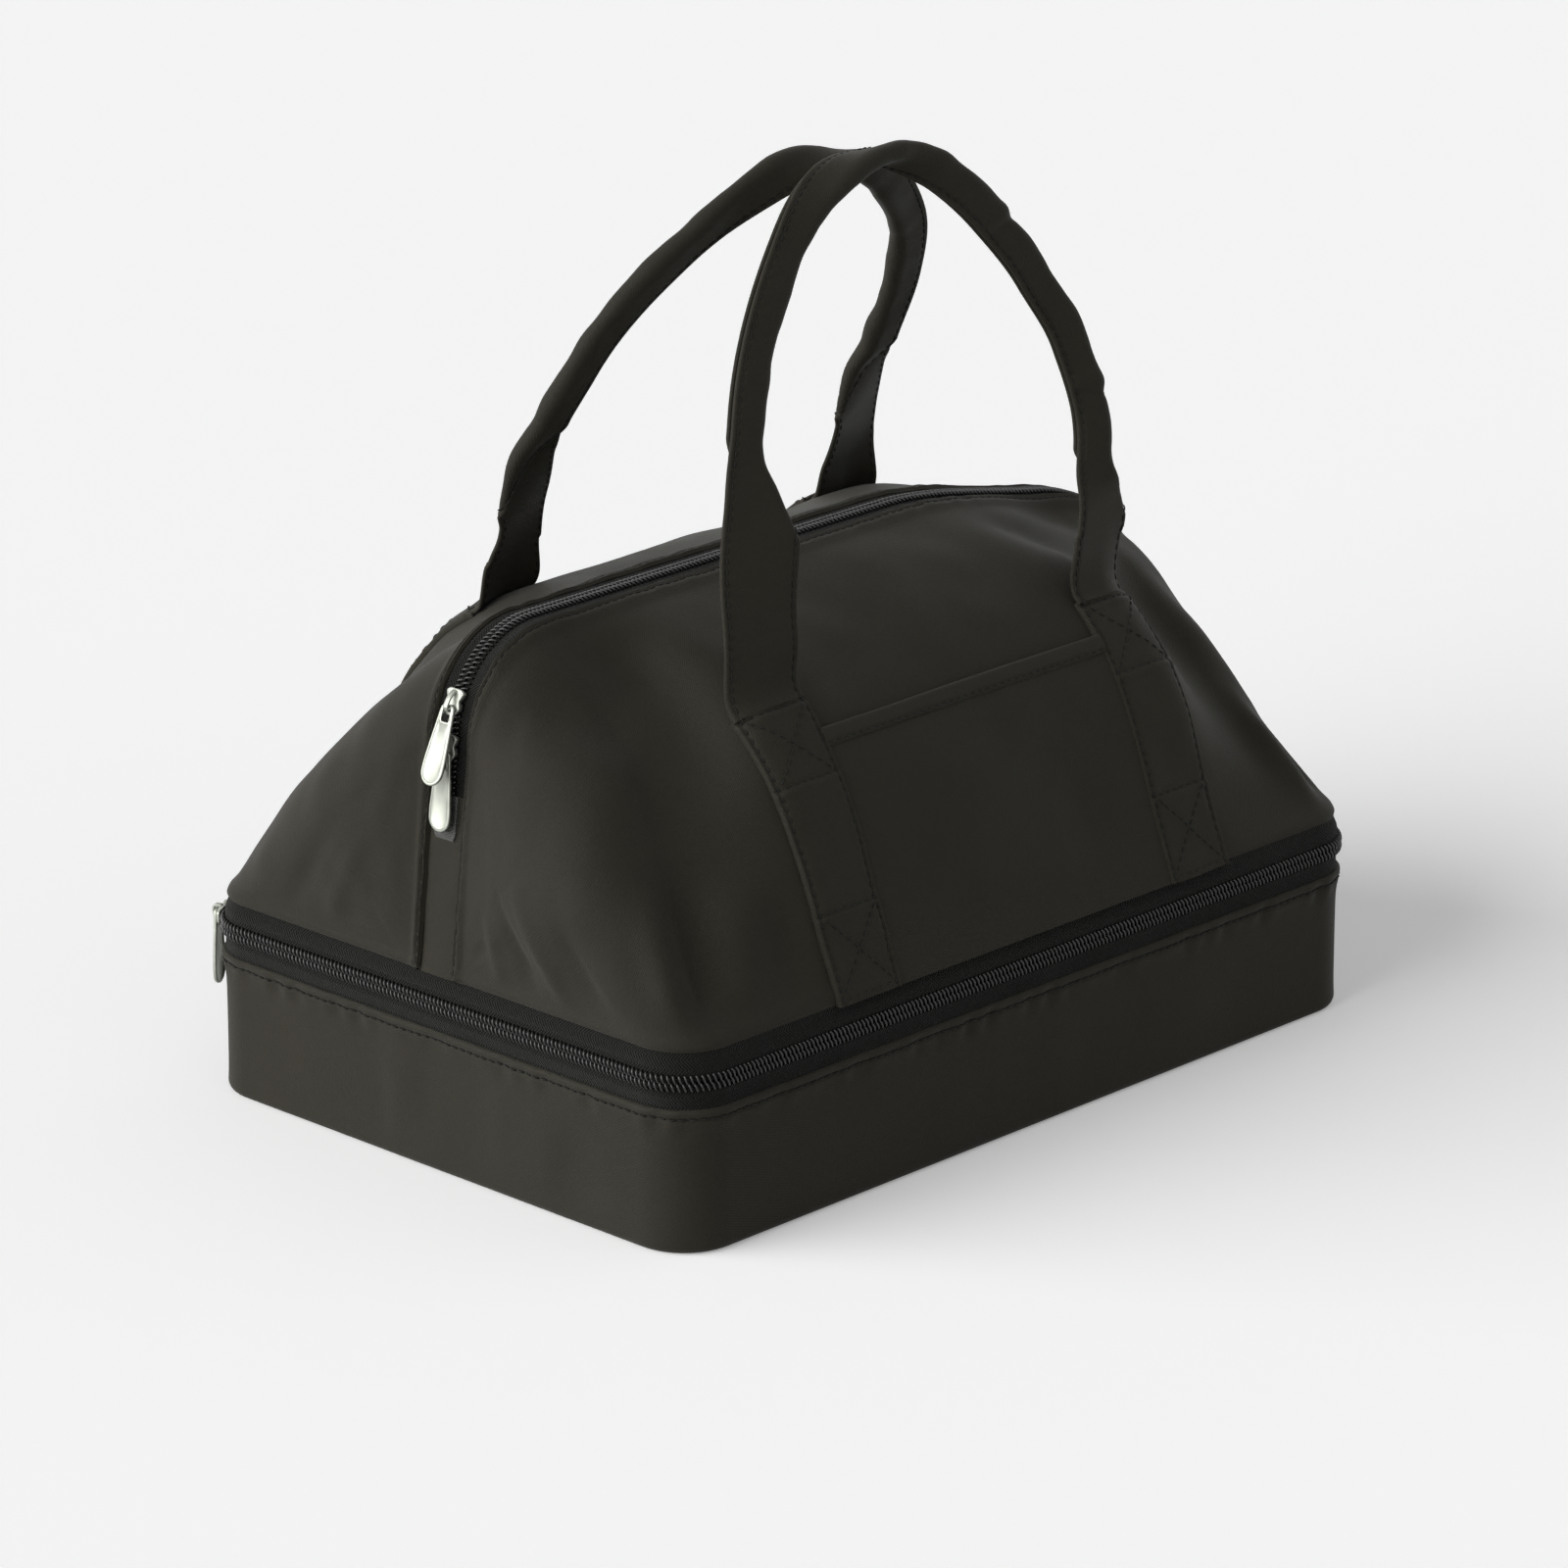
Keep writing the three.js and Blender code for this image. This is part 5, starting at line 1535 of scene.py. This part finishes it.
def add_slider(name, at, down, out, track, with_wing, ahead, material):
    """Slider that runs along track, and its tab, which hangs down from the bail."""
    down, out, track = (unit(np.asarray(v, float)) for v in (down, out, track))
    side = down * math.copysign(1, ahead)
    bail_turn = math.atan2(np.dot(out, np.cross(track, side)), np.dot(track, side))
    here = placed(track, out, at)
    parts = [(crown_rings(), here, False), (bail_rings(), here @ turned(bail_turn), False)]
    if with_wing:
        parts += [(wing_rings(), here, False), (web_rings(), here, False)]
    add_metal(f"{name}_slider_body", f"{name}_slider", parts, material)
    hang = np.eye(4)
    hang[:3, 3] = [ahead, 0, BAR_HEIGHT]
    tab = [(tab_rings(), placed(down, out, at) @ hang, True)]
    add_metal(f"{name}_metal_tab", f"{name}_pull", tab, material)


PARK_ANGLE = math.radians(117)
TOP_PARK_ANGLE = math.radians(21)
LOWER_SLIDER_DROP = 0.0025


def add_sliders(material):
    at = outline_grid(outline_length(math.degrees(PARK_ANGLE)), TAPE_INSET, TRAY_ZIP_HEIGHT)
    out = np.array([math.cos(PARK_ANGLE), math.sin(PARK_ANGLE), 0])
    up = np.array([0, 0, 1.0])
    add_slider("tray", at, -up, out, np.cross(up, out), False, -BAR_AHEAD, material)
    c, s = math.cos(TOP_PARK_ANGLE), math.sin(TOP_PARK_ANGLE)
    out, down = np.array([-c, 0, s]), np.array([-s, 0, -c])
    at = np.array([-SHOULDER_X, 0, SHOULDER_Z]) + out * (SHOULDER_RADIUS - TAPE_INSET)
    add_slider("top", at, down, out, down, True, BAR_AHEAD, material)
    shoulder = np.array([-end_line_x(SHOULDER_Z), 0, SHOULDER_Z])
    down = unit(np.array([-end_line_x(SEAM_HEIGHT), 0, SEAM_HEIGHT]) - shoulder)
    out = np.array([down[2], 0, -down[0]])
    at = shoulder + down * LOWER_SLIDER_DROP - out * TAPE_INSET
    add_slider("lower_top", at, down, out, down, True, BAR_AHEAD, material)


# Materials: effects shared by several finishes are node groups
def effect(name, inputs, outputs):
    """Empty shader node group with named sockets, and the sockets to build between."""
    group = bpy.data.node_groups.new(name, "ShaderNodeTree")
    for socket, kind, value in inputs:
        made = group.interface.new_socket(socket, in_out="INPUT", socket_type=f"NodeSocket{kind}")
        if value is not None:
            made.default_value = value
    for socket, kind in outputs:
        group.interface.new_socket(socket, in_out="OUTPUT", socket_type=f"NodeSocket{kind}")
    return group, group.nodes.new("NodeGroupInput").outputs, group.nodes.new("NodeGroupOutput").inputs


def plug(tree, value, socket):
    if hasattr(value, "is_linked"):
        tree.links.new(value, socket)
    else:
        socket.default_value = value


def set_inputs(tree, node, **values):
    """Links or sets a node's inputs; a low line in a name stands for a space."""
    for socket, value in values.items():
        plug(tree, value, node.inputs[socket.replace("_", " ")])


def math_node(tree, operation, *values, clamp=False):
    node = tree.nodes.new("ShaderNodeMath")
    node.operation = operation
    node.use_clamp = clamp
    for value, socket in zip(values, node.inputs):
        plug(tree, value, socket)
    return node.outputs[0]


def noise_node(tree, vector, scale, detail, roughness, stretch=None):
    if stretch:
        mapping = tree.nodes.new("ShaderNodeMapping")
        set_inputs(tree, mapping, Scale=stretch, Vector=vector)
        vector = mapping.outputs[0]
    node = tree.nodes.new("ShaderNodeTexNoise")
    set_inputs(tree, node, Vector=vector, Scale=scale, Detail=detail, Roughness=roughness)
    return node.outputs["Fac"]


def remap(tree, value, low, high, to_low=0.0, to_high=1.0):
    node = tree.nodes.new("ShaderNodeMapRange")
    node.clamp = True
    for given, socket in zip((value, low, high, to_low, to_high), node.inputs):
        plug(tree, given, socket)
    return node.outputs[0]


def color_mix(tree, share, a, b):
    node = tree.nodes.new("ShaderNodeMix")
    node.data_type = "RGBA"
    for value, socket in ((share, node.inputs[0]), (a, node.inputs[6]), (b, node.inputs[7])):
        plug(tree, value, socket)
    return node.outputs[2]


def parts_of(tree, vector):
    node = tree.nodes.new("ShaderNodeSeparateXYZ")
    tree.links.new(vector, node.inputs[0])
    return node.outputs


def weave_effect():
    """Plain weave on a UV map in metres: threads that rise and dip in turn."""
    group, given, result = effect(
        "plain weave", [("Cloth UV", "Vector", None), ("Pitch", "Float", 0.0006)], [("Height", "Float")])
    parts = parts_of(group, given["Cloth UV"])
    waves = []
    for axis in (0, 1):
        turns = math_node(group, "DIVIDE", parts[axis], given["Pitch"])
        waves.append(math_node(group, "SINE", math_node(group, "MULTIPLY", turns, math.pi)))
    product = math_node(group, "MULTIPLY", *waves)
    group.links.new(math_node(group, "MULTIPLY_ADD", product, 0.5, 0.5), result["Height"])
    return group


def herringbone_effect():
    """Zip tape's weave on a UV map in metres: slanted ribs that turn back at each stripe."""
    group, given, result = effect(
        "herringbone", [("Cloth UV", "Vector", None), ("Stripe", "Float", 0.0042), ("Rib", "Float", 0.0011)],
        [("Height", "Float")])
    parts = parts_of(group, given["Cloth UV"])
    slanted = math_node(group, "ADD", parts[0], math_node(group, "PINGPONG", parts[1], given["Stripe"]))
    turns = math_node(group, "DIVIDE", slanted, given["Rib"])
    wave = math_node(group, "SINE", math_node(group, "MULTIPLY", turns, 2 * math.pi))
    group.links.new(math_node(group, "MULTIPLY_ADD", wave, 0.5, 0.5), result["Height"])
    return group


def tone_effect():
    """Broad and fine variation of a dyed cloth or a matt surface."""
    group, given, result = effect(
        "tone", [("Place", "Vector", None), ("Broad Scale", "Float", 14.0), ("Fine Scale", "Float", 900.0)],
        [("Broad", "Float"), ("Fine", "Float")])
    broad = noise_node(group, given["Place"], given["Broad Scale"], 4.0, 0.6)
    fine = noise_node(group, given["Place"], given["Fine Scale"], 2.0, 0.7)
    group.links.new(remap(group, broad, 0.3, 0.7), result["Broad"])
    group.links.new(remap(group, fine, 0.25, 0.75), result["Fine"])
    return group


def rub_effect():
    """Paler spots, partly wear and partly painted highlight: a mask from the mesh, broken up by noise."""
    group, given, result = effect(
        "rub", [("Mask", "Float", 0.0), ("Place", "Vector", None), ("Amount", "Float", 0.5)],
        [("Wear And Highlight", "Float")])
    patchy = remap(group, noise_node(group, given["Place"], 160.0, 4.0, 0.65), 0.35, 0.7, 0.25, 1.0)
    wear_and_highlight_amount = math_node(group, "MULTIPLY", given["Mask"], patchy)
    group.links.new(math_node(group, "MULTIPLY", wear_and_highlight_amount, given["Amount"], clamp=True), result["Wear And Highlight"])
    return group


WEAVE, HERRINGBONE, TONE, WEAR_AND_HIGHLIGHT = weave_effect(), herringbone_effect(), tone_effect(), rub_effect()


def new_material(name):
    material = bpy.data.materials.new(name)
    material.use_nodes = True
    tree = material.node_tree
    return material, tree, tree.nodes["Principled BSDF"]


def add_effect(tree, group, **values):
    node = tree.nodes.new("ShaderNodeGroup")
    node.node_tree = group
    set_inputs(tree, node, **values)
    return node.outputs


def bump_normal(tree, height, distance):
    node = tree.nodes.new("ShaderNodeBump")
    set_inputs(tree, node, Height=height, Distance=distance, Strength=1.0)
    return node.outputs[0]


def shade(color, factor):
    return (*(min(1.0, c * factor) for c in color), 1)


def cloth_material(
    name, color, roughness, weave=0.0006, depth=0.00012, sheen=0.06, contrast=0.16, wear_and_highlight_amount=0.3, tape=False,
    specular=0.08,
):
    """Woven cloth with uneven dye, weave relief, and paler edges and fold crests, partly wear and partly
    painted highlight.
    """
    material, tree, shader = new_material(name)
    coordinates = tree.nodes.new("ShaderNodeTexCoord")
    place, cloth_uv = coordinates.outputs["Object"], coordinates.outputs["UV"]
    if tape:
        height = add_effect(tree, HERRINGBONE, Cloth_UV=cloth_uv, Rib=weave)["Height"]
    else:
        height = add_effect(tree, WEAVE, Cloth_UV=cloth_uv, Pitch=weave)["Height"]
    tone = add_effect(tree, TONE, Place=place)
    mask = tree.nodes.new("ShaderNodeAttribute")
    mask.attribute_name = "rub"
    rubbed = add_effect(tree, WEAR_AND_HIGHLIGHT, Mask=mask.outputs["Fac"], Place=place, Amount=wear_and_highlight_amount)["Wear And Highlight"]
    base = color_mix(tree, tone["Broad"], shade(color, 1 - contrast), shade(color, 1 + contrast))
    flecked = color_mix(tree, math_node(tree, "MULTIPLY", tone["Fine"], 0.5), base, shade(color, 1.5))
    amount, factor = (0.85, 0.35) if tape else (0.30, 0.72)
    threads = color_mix(tree, math_node(tree, "MULTIPLY", height, amount), flecked, shade(color, factor))
    # Paler where the mask says: partly wear, partly painted highlight.
    faded = color_mix(tree, rubbed, threads, shade(color, 1.7))
    rough = remap(tree, tone["Broad"], 0.0, 1.0, roughness - 0.05, roughness + 0.05)
    relief = math_node(tree, "ADD", height, math_node(tree, "MULTIPLY", tone["Fine"], 0.9))
    set_inputs(
        tree, shader, Base_Color=faded, Roughness=rough, Normal=bump_normal(tree, relief, depth),
        Sheen_Weight=sheen, Sheen_Roughness=0.45, Specular_IOR_Level=specular,
    )
    return material


def plain_material(name, color, roughness, fine=900.0, depth=0.00008, contrast=0.08, specular=0.4):
    """Foam, board, film or thread: fine grain and slight unevenness."""
    material, tree, shader = new_material(name)
    place = tree.nodes.new("ShaderNodeTexCoord").outputs["Object"]
    tone = add_effect(tree, TONE, Place=place, Fine_Scale=fine)
    base = color_mix(tree, tone["Broad"], shade(color, 1 - contrast), shade(color, 1 + contrast))
    grain = color_mix(tree, math_node(tree, "MULTIPLY", tone["Fine"], 0.3), base, shade(color, 0.75))
    rough = remap(tree, tone["Fine"], 0.0, 1.0, roughness - 0.06, roughness + 0.06)
    set_inputs(
        tree, shader, Base_Color=grain, Roughness=rough, Normal=bump_normal(tree, tone["Fine"], depth),
        Specular_IOR_Level=specular,
    )
    return material


def metal_material(name, color):
    """Cast and tumbled zip metal: satin, with fine scratches and dull spots."""
    material, tree, shader = new_material(name)
    place = tree.nodes.new("ShaderNodeTexCoord").outputs["Object"]
    tone = add_effect(tree, TONE, Place=place, Broad_Scale=160.0, Fine_Scale=2500.0)
    scratches = noise_node(tree, place, 500.0, 3.0, 0.6, stretch=(1.0, 5.0, 0.35))
    lines = remap(tree, scratches, 0.52, 0.62)
    base = color_mix(tree, tone["Broad"], shade(color, 0.86), shade(color, 1.06))
    satin = remap(tree, tone["Broad"], 0, 1, 0.38, 0.50)
    rough = math_node(tree, "ADD", satin, math_node(tree, "MULTIPLY", lines, 0.1))
    relief = math_node(tree, "ADD", tone["Fine"], math_node(tree, "MULTIPLY", lines, 0.6))
    set_inputs(
        tree, shader, Base_Color=base, Roughness=rough, Normal=bump_normal(tree, relief, 0.000012),
        Metallic=1.0,
    )
    return material


CLOTH_COLOR = (0.0248, 0.0228, 0.0168)
shell_cloth = cloth_material("shell cloth", CLOTH_COLOR, 0.56)
# Its edges pale more than the shell's: partly wear, partly painted highlight.
strap_cloth = cloth_material("strap cloth", CLOTH_COLOR, 0.58, wear_and_highlight_amount=0.35)
tape_cloth = cloth_material("zip tape", (0.013, 0.013, 0.0115), 0.72, weave=0.0016, depth=0.0005, tape=True)
tab_tape = cloth_material("end tab tape", (0.13, 0.13, 0.125), 0.7, weave=0.0009, depth=0.0002, tape=True)
lining_film = cloth_material(
    "lining", (0.30, 0.31, 0.32), 0.42, weave=0.0004, depth=0.00003, sheen=0.0, contrast=0.05, specular=0.5)
coil_plastic = plain_material("coil plastic", (0.011, 0.011, 0.010), 0.24, depth=0.00002, specular=0.5)
# Darker than the cloth: the thread's own near-black colour plus painted shade for the groove it lies in.
thread = plain_material("thread", (0.009, 0.009, 0.008), 0.62, fine=2400.0, specular=0.2)
foam_matt = plain_material("foam", (0.35, 0.35, 0.32), 0.9, depth=0.0003)
board_fibre = plain_material("board", (0.15, 0.15, 0.14), 0.8, depth=0.0002)
zip_metal = metal_material("zip metal", (0.37, 0.385, 0.34))


# Floor, backdrop and light
FLOOR_SIZE = 30.0
FLOOR_COLOR = 0.60
FLOOR_LIFT = 0.235
BACKDROP_LEVEL = 0.88


def seen_rays(tree):
    """1 for rays that show the background to the eye, also in metal, and 0 for those that light things."""
    rays = tree.nodes.new("ShaderNodeLightPath").outputs
    seen = math_node(tree, "MAXIMUM", rays["Is Camera Ray"], rays["Is Glossy Ray"])
    return math_node(tree, "MAXIMUM", seen, rays["Is Transmission Ray"])


def add_floor():
    mesh = bpy.data.meshes.new("floor")
    corners = [(x * FLOOR_SIZE, y * FLOOR_SIZE, 0) for x, y in ((-1, -1), (1, -1), (1, 1), (-1, 1))]
    mesh.from_pydata(corners, [], [(0, 1, 2, 3)])
    material, tree, shader = new_material("pale floor")
    seen = seen_rays(tree)
    grey, white = (FLOOR_COLOR,) * 3 + (1,), (1, 1, 1, 1)
    set_inputs(
        tree, shader, Base_Color=color_mix(tree, seen, grey, white), Emission_Color=white,
        Emission_Strength=math_node(tree, "MULTIPLY", seen, FLOOR_LIFT), Roughness=0.9,
        Specular_IOR_Level=0.1,
    )
    mesh.materials.append(material)
    add_object("floor", mesh)


def add_sun(name, towards, strength, spread):
    """Soft light from a wide part of the sky, given by the direction to its middle."""
    light = bpy.data.lights.new(name, "SUN")
    light.energy = strength * math.pi
    light.angle = math.radians(spread)
    add_object(name, light).rotation_euler = (-Vector(towards)).to_track_quat("-Z", "Y").to_euler()


def add_world(strength):
    world = bpy.data.worlds.new("studio")
    world.use_nodes = True
    tree = world.node_tree
    level = remap(tree, seen_rays(tree), 0, 1, strength, BACKDROP_LEVEL)
    set_inputs(tree, tree.nodes["Background"], Color=(1, 1, 1, 1), Strength=level)
    bpy.context.scene.world = world


add_tray_cloth(shell_cloth)
add_tray_inside(foam_matt, lining_film)
add_tray_tapes(tape_cloth)
add_hinge_strip(shell_cloth)
add_divider(lining_film)
for side in ("front", "back"):
    add_panel(side, shell_cloth)
    add_under_layers(side, foam_matt, lining_film)
    add_top_tape(side, tape_cloth)
    for hand in ("left", "right"):
        add_sewn_strap(side, hand, strap_cloth)
    add_handle(side, strap_cloth)
for hand in ("left", "right"):
    add_end_strip(hand, shell_cloth, tab_tape)
add_pocket(shell_cloth)
add_coils(coil_plastic)
add_stitches(thread)
add_sliders(zip_metal)
for node in ("tray_floor_board", "divider_board"):
    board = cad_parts[node]
    board.data.materials.clear()
    board.data.materials.append(board_fibre)
add_floor()
add_world(0.15)
add_sun("window", (-0.92, 0.36, 0.14), 1.85, 80)
add_sun("room", (0.20, -0.62, 0.75), 0.10, 90)

bpy.context.scene.view_settings.view_transform = "Standard"
